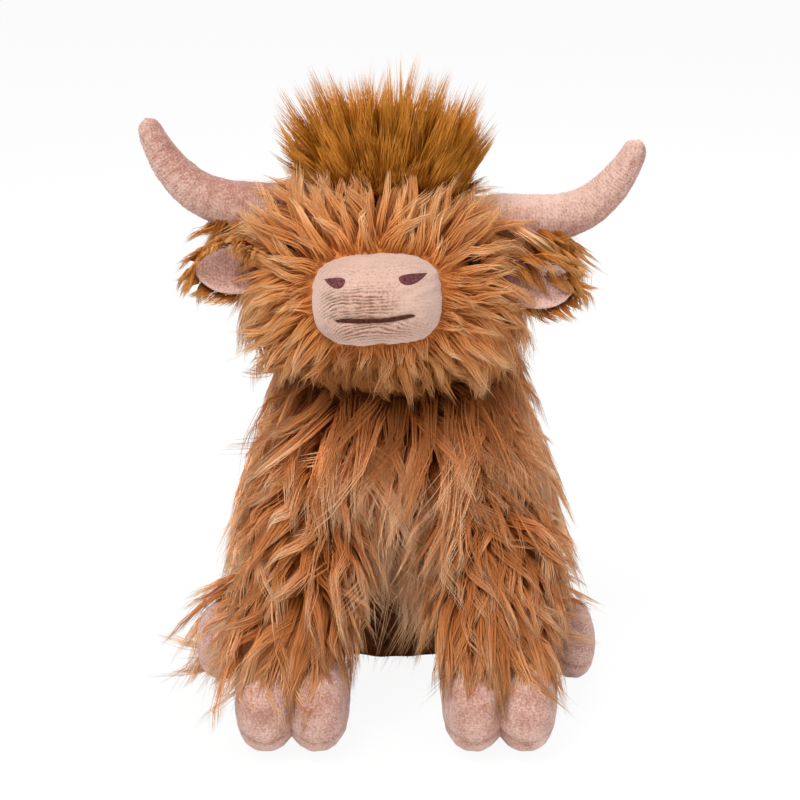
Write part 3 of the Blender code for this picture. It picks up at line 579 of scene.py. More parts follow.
def shell(name, rings, material, nap=None):
    """Closed mesh through rings of points. An end ring drawn in to a point is a pole, and any other is a face.

    nap, where given, is stored on the points: the way across the pile's fine lines in metres, a shade, which
    holds painted shade and painted highlights as well as the nap's own tone, and how strong the lines are.
    """
    rings = np.asarray(rings, float)
    count, sides = rings.shape[:2]
    index = np.arange(count * sides).reshape(count, sides)
    after = np.roll(index, -1, axis=1)
    faces = np.stack([index[:-1], after[:-1], after[1:], index[1:]], -1).reshape(-1, 4).tolist()
    for end, order in ((0, index[0, ::-1]), (-1, index[-1])):
        if np.ptp(rings[end], axis=0).max() > POLE:
            faces.append(order.tolist())
    mesh = bpy.data.meshes.new(name)
    mesh.from_pydata(rings.reshape(-1, 3), [], faces)
    if nap is not None:
        nap = np.stack([np.broadcast_to(part, (count, sides)) for part in nap], -1)
        layer = mesh.attributes.new("nap", "FLOAT_VECTOR", "POINT")
        layer.data.foreach_set("vector", nap.astype(np.float32).ravel())
    work = bmesh.new()
    work.from_mesh(mesh)
    bmesh.ops.remove_doubles(work, verts=work.verts[:], dist=POLE)
    bmesh.ops.recalc_face_normals(work, faces=work.faces[:])
    work.to_mesh(mesh)
    work.free()
    mesh.shade_smooth()
    return link(name, mesh, material)


def cover(name, rings, finish, body, slot, node_name, nap=None):
    """A stuffed cover: a padded shell that stands for a CAD node."""
    piece = shell(name, rings, finish_named(finish), nap)
    place(piece, body, slot, node_name)


def grid(columns, rows, low=0.0, high=1.0):
    """u and v of a grid of rows by columns, open at its last column because u goes round."""
    return np.meshgrid(np.arange(columns) / columns, np.linspace(low, high, rows))


def draw_in(rings, *ends):
    """Rings whose given ends are drawn in to their middles."""
    for end in ends:
        rings[end] = rings[end].mean(0)
    return rings


def normals(form, u, v, inset=0.0, step=1e-3):
    """Outward normals of a form, from its slopes along u and v."""
    along_u = form(u + step, v, inset) - form(u - step, v, inset)
    along_v = form(u, np.minimum(v + step, 1), inset) - form(u, np.maximum(v - step, 0), inset)
    return unit(np.cross(along_u, along_v))


def scatter(form, density, inset, rng, low=0.0, high=1.0, columns=160, rows=120):
    """Places spread evenly over a form, and its normals there.

    Cells of a grid are drawn, each as likely as its area, and then a place in each.
    """
    v_edge = np.linspace(low, high, rows + 1)
    u, v = np.meshgrid((np.arange(columns) + 0.5) / columns, (v_edge[1:] + v_edge[:-1]) / 2)
    half_u, half_v = 0.5 / columns, (high - low) * 0.5 / rows
    along_u = form(u + half_u, v, inset) - form(u - half_u, v, inset)
    along_v = form(u, v + half_v, inset) - form(u, v - half_v, inset)
    area = np.linalg.norm(np.cross(along_u, along_v), axis=-1).ravel()
    count = int(density * area.sum())
    cell = rng.choice(area.size, count, p=area / area.sum())
    u = u.ravel()[cell] + rng.uniform(-half_u, half_u, count)
    v = v.ravel()[cell] + rng.uniform(-half_v, half_v, count)
    return form(u, v, inset), normals(form, u, v, inset)


# Pile


def comb(roots, normal, flow, lengths, rng, lift=55, lie=-6, sway=0.28, wave=0.19, sag=0.1, twist=14, steps=5):
    """Path of each lock from its root. All angles are in degrees, and lift and lie may be one for each lock.

    It leaves the cloth at the lift angle and turns down to the lie angle by the square of the way that is left.
    The comb's direction is the flow along the cloth, twisted by smooth noise and a draw. The lock bends aside by
    its sway with the square of the way, with a wave that grows along it, and its end sags.
    """
    count = len(roots)
    along = np.linspace(0, 1, steps)
    tangent = unit(flow - (flow * normal).sum(-1, keepdims=True) * normal)
    angle = np.radians(twist) * (1.1 * ripple(roots, 0.03, 5) + rng.normal(0, 0.8, count))[:, None]
    tangent = np.cos(angle) * tangent + np.sin(angle) * np.cross(normal, tangent)
    side = np.cross(normal, tangent)
    middle = (along[1:] + along[:-1]) / 2
    lift, lie = np.reshape(lift, (-1, 1)) * rng.uniform(0.8, 1.12, (count, 1)), np.reshape(lie, (-1, 1))
    slope = np.radians(lie + (lift - lie) * (1 - middle) ** 2)[..., None]
    moves = np.cos(slope) * tangent[:, None] + np.sin(slope) * normal[:, None]
    path = np.concatenate([np.zeros((count, 1, 3)), np.cumsum(moves, 1)], 1) / (steps - 1)
    bend = sway * (0.7 * ripple(roots, 0.02, 9) + rng.normal(0, 0.6, count))[:, None] * along ** 2
    phase = rng.uniform(0, 1, (count, 1))
    turns = rng.uniform(0.5, 1.15, (count, 1))
    size = wave * rng.uniform(0.3, 1.6, (count, 1))
    bend = bend + size * along * np.sin(2 * math.pi * (turns * along + phase))
    path += bend[..., None] * side[:, None] - (sag * along ** 2)[None, :, None] * UP
    return roots[:, None] + path * lengths[:, None, None]


def nearest(points, targets, chunk=4096):
    """Index of the closest target of each point."""
    targets = targets.astype(np.float32)
    squares = (targets ** 2).sum(-1)
    found = [
        np.argmin(squares - 2 * points[k:k + chunk].astype(np.float32) @ targets.T, axis=1)
        for k in range(0, len(points), chunk)
    ]
    return np.concatenate(found)


def gather(roots, locks, rng, clump=0.94, scatter_length=0.11, jitter=0.00035, loose=0.07):
    """Path of each strand: that of its nearest lock, reached from the strand's own root by its way along.

    Each strand has its own length and a little jitter. A share of loose strands keeps apart from the lock.
    """
    own = nearest(roots, locks[:, 0])
    guide = locks[own]
    count, steps = guide.shape[:2]
    along = np.linspace(0, 1, steps)[None, :, None]
    free = (rng.uniform(size=count) < loose)[:, None, None]
    pull = 1 - np.where(free, 0.35, clump) * along ** 1.2
    size = np.clip(rng.normal(0.95, scatter_length, count), 0.45, 1.3)[:, None, None]
    drift = rng.normal(size=(count, 1, 3)) * along + 0.6 * rng.normal(size=(count, steps, 3)) * along ** 0.5
    path = guide[:, :1] + (guide - guide[:, :1]) * size + (roots - guide[:, 0])[:, None] * pull
    path += drift * np.where(free, 2.6, 1) * jitter
    path[:, 0] = roots
    return path, own


def outward(points):
    """How far the coat's comb turns aside: by the square of the way from the toy's middle, up to a limit."""
    return np.clip(points[:, 0] * np.abs(points[:, 0]) / FLOW_SPREAD ** 2, -1.4, 1.4)


def off_floor(paths, centre=(0.0, -0.03)):
    """Lays what would go under the floor on it instead, turned outwards by as much."""
    under = np.maximum(FLOOR_GAP - paths[..., 2], 0)
    out = unit(paths[..., :2] - np.array(centre))
    paths[..., 2] = np.maximum(paths[..., 2], FLOOR_GAP)
    paths[..., :2] += out * under[..., None] * 0.7
    return paths


def off_hoof(paths, hoof, sign):
    """Moves what would go into a hoof out to just over it, away from the middle of each lobe."""
    middles, halves = lobes(hoof, OVER_HOOF)
    for middle in middles:
        offset = paths - middle * (sign, 1, 1)
        ratio = fullness(offset, halves, LOBE_SQUARENESS) ** (1 / LOBE_SQUARENESS)
        paths = paths + offset * (1 / np.clip(ratio, 0.3, 1) - 1)[..., None]
    return paths


def hold_in(paths, rng):
    """Draws in what stands out beyond the coat's side, whose distance from the middle grows downwards."""
    side = COAT_SIDE + COAT_SLOPE * (COAT_HEIGHT - paths[..., 2]) + COAT_LEFT * (paths[..., 0] > 0)
    aside = np.abs(paths[..., 0])
    paths[..., 0] = np.sign(paths[..., 0]) * np.where(aside > side, side + 0.5 * (aside - side), aside)
    return paths


def cut_short(paths, hoof, sign, rng):
    """Shortens strands that hang over a hoof's front, each at its own height, further down over the cleft."""
    count, steps = paths.shape[:2]
    aside = sign * (paths[:, -1, 0] - sign * hoof.foot[0])
    cleft = bell((aside, 0, 0.005))
    right = smooth(-0.002, 0.006, sign * aside)
    limit = hoof.height * (rng.uniform(*HEM_SHARES, count) - 0.22 * cleft - 0.10 * right)
    near = in_hoof(hoof, paths.reshape(-1, 3), HEM_REACH).reshape(count, steps)
    over = near & (paths[..., 2] < limit[:, None])
    first = np.where(over.any(1), over.argmax(1), steps - 1)
    before = np.maximum(first - 1, 0)
    row = np.arange(count)
    fall = paths[row, before, 2] - paths[row, first, 2]
    part = np.clip((paths[row, before, 2] - limit) / np.maximum(fall, 1e-6), 0.05, 1)
    last = np.where(over.any(1), before + part, steps - 1)
    way = last[:, None] * np.linspace(0, 1, steps)
    low = np.minimum(way.astype(int), steps - 2)
    share = (way - low)[..., None]
    return paths[row[:, None], low] * (1 - share) + paths[row[:, None], low + 1] * share


def strands(name, paths, tints, lock_tints, radius, material):
    """One mesh of closed three-sided strands, thinner towards their pointed ends.

    Rings of three points stand at right angles to each path. Every strand has its own cell in the UV map, with
    u round it and v along it, and the strand attribute holds the way along, its tint and its lock's tint, which
    also carries any painted shade and painted light of its coat.
    """
    count, steps = paths.shape[:2]
    rings = steps - 1
    size = 3 * rings + 1
    tangent = unit(np.gradient(paths, axis=1))
    hint = unit(np.cross(tangent[:, 0], np.roll(tangent[:, 0], 1, axis=-1) + (0.3, 0.1, 0.2)))[:, None]
    across = unit(np.cross(tangent, hint))
    up = np.cross(tangent, across)
    along = np.linspace(0, 1, steps)
    thick = (radius * (1 - 0.7 * along[:-1] ** 1.5))[None, :, None, None]
    angle = 2 * math.pi * np.arange(3)[:, None] / 3
    points = np.empty((count, size, 3), np.float32)
    ring = np.cos(angle) * across[:, :-1, None] + np.sin(angle) * up[:, :-1, None]
    points[:, :-1] = (paths[:, :-1, None] + thick * ring).reshape(count, -1, 3)
    points[:, -1] = paths[:, -1]

    corners, cells, starts = [], [], []
    heights = [0.1 + 0.86 * row / rings for row in range(steps)]

    def face(vertices, places):
        starts.append(len(corners))
        corners.extend(vertices)
        cells.extend(places)

    for k in range(3):
        left, right = 0.04 + 0.92 * k / 3, 0.04 + 0.92 * (k + 1) / 3
        after = (k + 1) % 3
        for row in range(rings - 1):
            base, over = 3 * row, 3 * row + 3
            low, high = heights[row], heights[row + 1]
            places = [(left, low), (right, low), (right, high), (left, high)]
            face([base + k, base + after, over + after, over + k], places)
        last = 3 * (rings - 1)
        places = [(left, heights[-2]), (right, heights[-2]), ((left + right) / 2, heights[-1])]
        face([last + k, last + after, size - 1], places)
    face([2, 1, 0], [(0.04, 0.02), (0.96, 0.02), (0.5, 0.07)])

    corners, cells, starts = np.array(corners), np.array(cells), np.array(starts)
    mesh = bpy.data.meshes.new(name)
    mesh.vertices.add(count * size)
    mesh.vertices.foreach_set("co", points.ravel())
    mesh.loops.add(count * len(corners))
    mesh.loops.foreach_set("vertex_index", (corners + size * np.arange(count)[:, None]).ravel())
    mesh.polygons.add(count * len(starts))
    mesh.polygons.foreach_set("loop_start", (starts + len(corners) * np.arange(count)[:, None]).ravel())
    mesh.polygons.foreach_set("use_smooth", np.ones(count * len(starts), bool))
    side = math.ceil(math.sqrt(count))
    cell = np.stack([np.arange(count) % side, np.arange(count) // side], -1)[:, None]
    layer = mesh.uv_layers.new(name="OFBake")
    layer.data.foreach_set("uv", ((cell + cells) / side).astype(np.float32).ravel())
    ways = np.append(np.repeat(along[:-1], 3), 1)
    data = vectors(ways[None], tints[:, None], lock_tints[:, None]).astype(np.float32)
    attribute = mesh.attributes.new("strand", "FLOAT_VECTOR", "POINT")
    attribute.data.foreach_set("vector", data.ravel())
    mesh.update(calc_edges=True)
    return link(name, mesh, material)


def sectors(points, centre, count):
    """Index of each point's sector by its direction round a centre. The first one's middle is at the left."""
    turn = np.arctan2(points[:, 1] - centre[1], points[:, 0] - centre[0]) / (2 * math.pi)
    return np.floor((turn + 0.5 / count) % 1 * count).astype(int)


def read_at(value, *places):
    """What a function gives at places, or a value that is the same everywhere."""
    return value(*places) if callable(value) else value


def coat(body, slot, form, keep, flow, lengths, style, seed, parts, material, density=1, spacing=1, tidy=None):
    """Covers a form with locks and their strands, and makes a piece of each sector.

    keep says which roots stay. flow and lengths, functions or values, give the comb's direction and the
    pile's length. style holds what differs from the defaults of comb and gather, the cloth's depth, the span
    of v, the strands' thickness, their shade, which is painted shade and painted light taken off the locks'
    tints, and over, which moves finished paths. parts is a centre and the sectors' names. tidy, where given,
    says which strands stay.
    """
    sizes = bpy.context.scene.cow_sizes
    rng = np.random.default_rng(seed)
    depth, span = style.get("depth", sizes.depth), style.get("span", (0.0, 1.0))
    lock_roots, lock_normals = scatter(form, 1 / (sizes.lock * spacing) ** 2, depth, rng, *span)
    near = keep(lock_roots)
    where = lock_roots[near], lock_normals[near]
    habit = {key: read_at(value, *where) for key, value in style.items() if key in COMB_HABITS}
    long = read_at(lengths, where[0]) * rng.uniform(0.72, 1.2, len(where[0]))
    locks = comb(*where, read_at(flow, *where), long, rng, **habit)
    roots, _ = scatter(form, sizes.density * 1e6 * density, depth, rng, *span)
    roots = roots[keep(roots)]
    paths, own = gather(roots, locks, rng, **{key: style[key] for key in GATHER_HABITS if key in style})
    if "over" in style:
        paths = style["over"](paths, rng)
    paths = off_floor(paths)
    tints = rng.uniform(size=len(paths))
    # Painted shade and light: the style's shade darkens or lightens the tints of the locks
    lock_tints = rng.uniform(size=len(locks))[own] - read_at(style.get("shade", 0), roots)
    sector = sectors(roots, parts[0], len(parts[1]))
    if tidy is not None:
        sector = np.where(tidy(paths, rng), sector, -1)
    for index, name in enumerate(parts[1]):
        own = sector == index
        radius = sizes.strand * style.get("thick", 1.0)
        place(strands(name, paths[own], tints[own], lock_tints[own], radius, material), body, slot)


# Materials


def new_material(name, **constants):
    """A Principled material with constants on its own sockets."""
    material = bpy.data.materials.new(name)
    material.use_nodes = True
    shader = material.node_tree.nodes["Principled BSDF"]
    for socket, value in constants.items():
        shader.inputs[socket.replace("_", " ")].default_value = value
    return material, material.node_tree, shader


def node(tree, kind, inputs, **settings):
    """A node with its settings, whose inputs are set, or linked where they are given as sockets."""
    made = tree.nodes.new("ShaderNode" + kind)
    for key, value in settings.items():
        setattr(made, key, value)
    for key, value in inputs.items():
        if isinstance(value, bpy.types.NodeSocket):
            tree.links.new(value, made.inputs[key])
        else:
            made.inputs[key].default_value = value
    return made


def ramp(tree, factor, *stops):
    """Colour read from stops of position and colour, the first two at the ramp's ends."""
    made = node(tree, "ValToRGB", {"Fac": factor})
    elements = made.color_ramp.elements
    for index, (position, colour) in enumerate(stops):
        element = elements[index] if index < 2 else elements.new(position)
        element.position = position
        element.color = (*colour[:3], 1)
    return made.outputs["Color"]


def noise(tree, scale, detail=3.0, squeeze=(1, 1, 1)):
    """Noise on Object coordinates, with so many features to the metre."""
    where = node(tree, "TexCoord", {}).outputs["Object"]
    mapping = node(tree, "Mapping", {"Vector": where, "Scale": squeeze})
    made = node(tree, "TexNoise", {"Vector": mapping.outputs["Vector"], "Scale": scale, "Detail": detail})
    return made.outputs["Fac"]


def attribute(tree, name):
    """The three parts of a vector stored on the points."""
    data = node(tree, "Attribute", {}, attribute_name=name, attribute_type="GEOMETRY")
    parts = node(tree, "SeparateXYZ", {"Vector": data.outputs["Vector"]})
    return (parts.outputs[k] for k in range(3))


def maths(tree, operation, first, second, clamp=False):
    return node(tree, "Math", {0: first, 1: second}, operation=operation, use_clamp=clamp).outputs[0]


def about(tree, value, share):
    """How far a value that lies about a half is from it, times a share."""
    return maths(tree, "MULTIPLY", maths(tree, "SUBTRACT", value, 0.5), share)


def tinted(colour, share):
    return tuple(share * part for part in colour)


def dress(tree, shader, colour, height, distance):
    """Links a colour, and a height as bump, to a material's shader."""
    tree.links.new(colour, shader.inputs["Base Color"])
    made = node(tree, "Bump", {"Height": height, "Distance": distance, "Strength": 1.0})
    tree.links.new(made.outputs["Normal"], shader.inputs["Normal"])


def pile_material(name, root, middle, tip, end=1.0):
    """Pile: dark at the root and light at the end, each strand and each lock a little off, in soft patches; a
    lock's tint holds painted shade and light too.
    """
    material, tree, shader = new_material(name, Roughness=0.55, Specular_IOR_Level=0.14)
    along, tint, lock = attribute(tree, "strand")
    # The lock's tint carries its coat's painted shade and painted light as well as a random tint
    shift = maths(tree, "ADD", about(tree, tint, 0.5), about(tree, lock, 0.35))
    shift = maths(tree, "ADD", shift, about(tree, noise(tree, 45, 2), 0.5))
    reach = maths(tree, "ADD", along, maths(tree, "MULTIPLY", shift, along), clamp=True)
    colour = ramp(tree, reach, (0.0, root), (end, tip), (0.45, middle))
    value = maths(tree, "ADD", 0.88, maths(tree, "MULTIPLY", lock, 0.24))
    tuned = node(tree, "HueSaturation", {"Color": colour, "Value": value})
    tree.links.new(tuned.outputs["Color"], shader.inputs["Base Color"])
    return material


def ground_material(name, root):
    """Cloth at the foot of the pile, with short dark fibres."""
    material, tree, shader = new_material(name, Roughness=0.95, Specular_IOR_Level=0.1)
    fibres = noise(tree, 900, 2, (1, 1, 0.2))
    dress(tree, shader, ramp(tree, fibres, (0.3, tinted(root, 0.6)), (0.75, root)), fibres, 0.0006)
    return material


def nap_material(name, light, shade, lines, flecks):
    """Short nap: narrow dark lines across the nap attribute's way, painted shade and light from its tone, and
    soft flecks. On the muzzle the lines are painted shade in the folds' valleys and painted light on their
    ridges; elsewhere they are the nap's fine lines.
    """
    material, tree, shader = new_material(
        name, Roughness=0.9, Specular_IOR_Level=0.12, Sheen_Weight=0.4, Sheen_Roughness=0.35
    )
    # crease is the attribute's tone, which holds painted shade and painted highlights as well as tone of the
    # nap's own
    way, crease, force = attribute(tree, "nap")
    bend = maths(tree, "MULTIPLY", noise(tree, 180, 2), 0.0010)
    turn = maths(tree, "MULTIPLY", maths(tree, "ADD", way, bend), 2 * math.pi / NAP_PERIOD)
    line = maths(tree, "MULTIPLY", maths(tree, "MULTIPLY", maths(tree, "SINE", turn, 0.0), force), lines)
    fleck = about(tree, noise(tree, 900, 3), flecks)
    mottle = about(tree, noise(tree, 90, 2), 0.14)
    tone = maths(tree, "ADD", maths(tree, "SUBTRACT", fleck, line), maths(tree, "ADD", mottle, crease))
    # The palest colour, a quarter over the light one, paints the highlights, and the darkest paints the deepest
    # shade
    pale = tuple(min(1, part) for part in tinted(light, 1.25))
    colour = ramp(tree, tone, (0.0, tinted(shade, 0.74)), (1.0, pale), (0.28, shade), (0.58, light))
    fuzz = maths(tree, "SUBTRACT", noise(tree, 1800, 2), maths(tree, "MULTIPLY", line, 3.0))
    dress(tree, shader, colour, maths(tree, "ADD", fuzz, fleck), 0.0004)
    return material


def stitch_material(name, colour):
    """Satin stitches: dull thread with fine lines."""
    material, tree, shader = new_material(name, Roughness=0.6, Specular_IOR_Level=0.1)
    threads = noise(tree, 1300, 2, (1, 0.5, 0.5))
    stops = (0.3, tinted(colour, 0.4)), (0.75, tinted(colour, 1.7)), (0.5, colour)
    dress(tree, shader, ramp(tree, threads, *stops), threads, 0.0003)
    return material


def plain_material(name, colour, roughness, grain, depth, specular=0.5, sheen=0.0):
    """A moulded or spun finish: a colour with slight variation and grain."""
    material, tree, shader = new_material(
        name, Roughness=roughness, Specular_IOR_Level=specular, Sheen_Weight=sheen
    )
    spots = noise(tree, grain, 3)
    dress(tree, shader, ramp(tree, spots, (0.25, tinted(colour, 0.8)), (0.7, colour)), spots, depth)
    return material


def woven_material(name, colour):
    """Plain weave: threads over and under as the product of two sine waves."""
    material, tree, shader = new_material(name, Roughness=0.9)
    wave = {"Vector": node(tree, "TexCoord", {}).outputs["Object"], "Scale": 260.0, "Distortion": 0.4}
    waves = [node(tree, "TexWave", wave, bands_direction=way).outputs["Fac"] for way in ("X", "Z")]
    weave = maths(tree, "MULTIPLY", *waves)
    dress(tree, shader, ramp(tree, weave, (0.0, tinted(colour, 0.6)), (0.6, colour)), weave, 0.0003)
    return material


def floor_material(name, colour):
    """The floor, which glows to the camera so that it meets the background."""
    material, tree, shader = new_material(name, Base_Color=(*colour, 1), Roughness=0.9)
    glow = node(tree, "Emission", {"Color": (1, 1, 1, 1), "Strength": 1.0})
    path = node(tree, "LightPath", {})
    share = maths(tree, "MULTIPLY", path.outputs["Is Camera Ray"], 0.93)
    mixed = node(tree, "MixShader", {0: share, 1: shader.outputs[0], 2: glow.outputs[0]})
    tree.links.new(mixed.outputs[0], tree.nodes["Material Output"].inputs["Surface"])
    return material


# Maker of each finish, with its colours by name and its other values
FINISHES = {
    "coat_pile": (pile_material, "coat_root", "coat_middle", "coat_tip", 0.9),
    "face_pile": (pile_material, "face_root", "face_middle", "face_tip"),
    "amber_pile": (pile_material, "amber_root", "amber_middle", "amber_tip"),
    "ochre_pile": (pile_material, "topknot_root", "topknot_middle", "topknot_tip"),
    "coat_cloth": (ground_material, "coat_root"),
    "face_cloth": (ground_material, "face_root"),
    "ochre_cloth": (ground_material, "topknot_root"),
    # The beige nap's strong lines paint shade in the muzzle's fold valleys and light on their ridges; the pink
    # nap's faint lines are the nap's own
    "pink_short_nap": (nap_material, "nap", "nap_shade", 0.03, 0.8),
    "beige_short_nap": (nap_material, "muzzle", "muzzle_shade", 0.26, 0.7),
    "embroidery": (stitch_material, "stitching"),
    "mouth_embroidery": (stitch_material, "mouth"),
    "eye_gloss": (plain_material, "eye", 0.15, 200, 0.0, 0.25),
    "washer_plastic": (plain_material, "washer", 0.45, 900, 0.0001),
    "fibre_filling": (plain_material, "filling", 0.95, 500, 0.001, 0.5, 0.3),
    "bag_cloth": (woven_material, "bag"),
    "floor": (floor_material, "floor"),
}


def finish_named(kind):
    """A finish by its kind, made from the scene's colours when it is first asked for."""
    name = "cow_" + kind
    found = bpy.data.materials.get(name)
    if found is not None:
        return found
    colours = bpy.context.scene.cow_colours
    maker, *values = FINISHES[kind]
    return maker(name, *(tuple(getattr(colours, part)) if isinstance(part, str) else part for part in values))



# Stuffing


def stuffing(node_name, piece_name, body, slot, lump, period, voxel, fill, seed):
    """A lumpy stuffed piece from a CAD node's own solid, kept inside it.

    A merged copy is remeshed finely, and smooth noise draws its points in along their normals.
    """
    work = bmesh.new()
    work.from_mesh(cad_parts[node_name].data)
    bmesh.ops.remove_doubles(work, verts=work.verts[:], dist=1e-6)
    mesh = bpy.data.meshes.new(piece_name)
    work.to_mesh(mesh)
    work.free()
    mesh.materials.clear()
    obj = link(piece_name, mesh, finish_named(slot))
    remesh = obj.modifiers.new("Remesh", "REMESH")
    remesh.mode = "VOXEL"
    remesh.voxel_size = voxel
    bpy.context.view_layer.update()
    fine = bpy.data.meshes.new_from_object(obj.evaluated_get(bpy.context.evaluated_depsgraph_get()))
    obj.modifiers.clear()
    obj.data = fine
    fine.name = piece_name
    points = np.empty((len(fine.vertices), 3), np.float32)
    ways = np.empty_like(points)
    fine.vertices.foreach_get("co", points.ravel())
    fine.vertices.foreach_get("normal", ways.ravel())
    points -= ways * (lump * (0.5 + 0.5 * np.clip(ripple(points, period, seed), -1, 1)))[:, None]
    fine.vertices.foreach_set("co", points.ravel())
    fine.update()
    fine.shade_smooth()
    place(obj, body, slot, node_name)


def fill_with_fibre(node_name, body, seed):
    """The fibre filling that stands for a CAD filling."""
    stuffing(node_name, node_name + "_fibre", body, "fibre_filling", *FIBRE, seed)


# Torso


def torso_zones(points):
    """How far points belong to the chest's middle, the shoulders and the belly, from 0 to 1."""
    aside, height = np.abs(points[:, 0]), points[:, 2]
    front = smooth(0.0, 0.045, -points[:, 1] - TORSO_LEAN * height / TORSO_HEIGHT)
    chest = front * smooth(*CHEST_FOOT, height) * smooth(0.050, 0.020, aside)
    shoulder = front * smooth(0.105, 0.120, height) * smooth(0.012, 0.030, aside)
    shoulder = shoulder * smooth(0.066, 0.054, aside)
    return chest, shoulder, front * smooth(0.078, 0.058, height)


def make_torso():
    """The cloth of the torso with its filling and pellet bag, and the pile over it."""
    sizes = bpy.context.scene.cow_sizes
    u, v = grid(96, 60)
    rings = torso_form(u, v, sizes.depth)
    rings += normals(torso_form, u, np.clip(v, 0.01, 0.99)) * (0.0008 * ripple(rings, 0.02, 3))[..., None]
    rings[0, :, 2] = 0
    cover("torso_cloth", rings, "coat_cloth", "torso", "coat", "body_skin")
    fill_with_fibre("body_filling", "torso", 11)
    stuffing("pellet_bag", "seat_pellet_bag", "torso", "bag_cloth", *BAG, 12)

    def keep(points):
        legs = in_limb(FRONT_LEG, points, -0.010) | in_limb(HIND_LEG, points, -0.009)
        return ~(in_head(points, -0.010) | legs) & (points[:, 2] > 0.006)

    def flow(points, normal):
        spread = outward(points) * (0.4 + 0.6 * smooth(0.03, 0.08, points[:, 2]))
        return vectors(spread, 0.2 * normal[:, 1], -1)

    def lengths(points):
        chest, shoulder, belly = torso_zones(points)
        share = 0.75 + 0.25 * smooth(0.0, 0.03, points[:, 2]) + 0.85 * chest + 0.4 * shoulder - 0.4 * belly
        share -= 0.3 * smooth(0.09, 0.12, points[:, 2]) * smooth(0.035, 0.055, -points[:, 0])
        return sizes.coat * share * (1 + 0.15 * ripple(points, 0.04, 21))

    def standing(points):
        """Share of the chest's lift: less under the chin, where the locks hang."""
        return 1 - 0.35 * smooth(0.115, 0.145, points[:, 2])

    def lift(points, normal):
        chest, shoulder, belly = torso_zones(points)
        flank = smooth(0.5, 0.95, np.abs(normal[:, 0])) * smooth(0.05, 0.09, points[:, 2])
        return 52 + 26 * chest * standing(points) + 14 * shoulder - 14 * belly - 8 * flank

    def lie(points, normal):
        """Locks of the chest and shoulders end away from the cloth, and the left flank's are tousled."""
        chest, shoulder, _ = torso_zones(points)
        flank = smooth(0.5, 0.95, np.abs(normal[:, 0])) * smooth(0.02, 0.06, points[:, 2])
        tousled = 16 * ripple(points, 0.016, 31) * smooth(0.4, 0.8, normal[:, 0])
        aside = (2 + 8 * smooth(0.12, 0.06, points[:, 2]) + tousled) * flank
        return -6 + 28 * chest * standing(points) + 10 * shoulder + aside

    def shade(points):
        """Painted shade and light on the locks: painted shadow between the front legs and right under the chin,
        and painted light on the chest and on the flanks, most on the right flank.
        """
        belly = torso_zones(points)[2]
        aside, height = np.abs(points[:, 0]), points[:, 2]
        neck = smooth(0.150, 0.165, height) * smooth(0.055, 0.035, aside)
        chest = smooth(*CHEST_FOOT, height) * smooth(0.165, 0.150, height) * smooth(0.055, 0.030, aside)
        side = 1.7 * smooth(0.04, 0.07, -points[:, 0]) + 0.5 * smooth(0.04, 0.07, points[:, 0])
        return 2.2 * belly + 1.2 * neck - 0.8 * chest - side * smooth(0.04, 0.08, height)

    def thin(paths, rng):
        """Fewer strands behind, where the toy is rarely seen, and none on the floor in front of the belly."""
        stay = (paths[:, 0, 1] < BEHIND) | (rng.uniform(size=len(paths)) < 0.66)
        lying = (paths[:, -1, 2] < 0.003) & ((rng.uniform(size=len(paths)) < 0.6) | (paths[:, -1, 1] < -0.05))
        return stay & ~lying & ((paths[:, -1, 2] > 0.008) | (paths[:, -1, 1] > -0.075))

    places = ("left", "back_left", "back", "back_right", "right", "front_right", "front", "front_left")
    parts = ((0.0, -0.02), [f"torso_pile_{place}" for place in places])
    style = {"lift": lift, "lie": lie, "span": (0.02, 0.995), "twist": 16, "sway": 0.3}
    style.update(shade=shade, over=hold_in)
    pile = finish_named("coat_pile")
    coat("torso", "coat", torso_form, keep, flow, lengths, style, 101, parts, pile, tidy=thin)


# Head


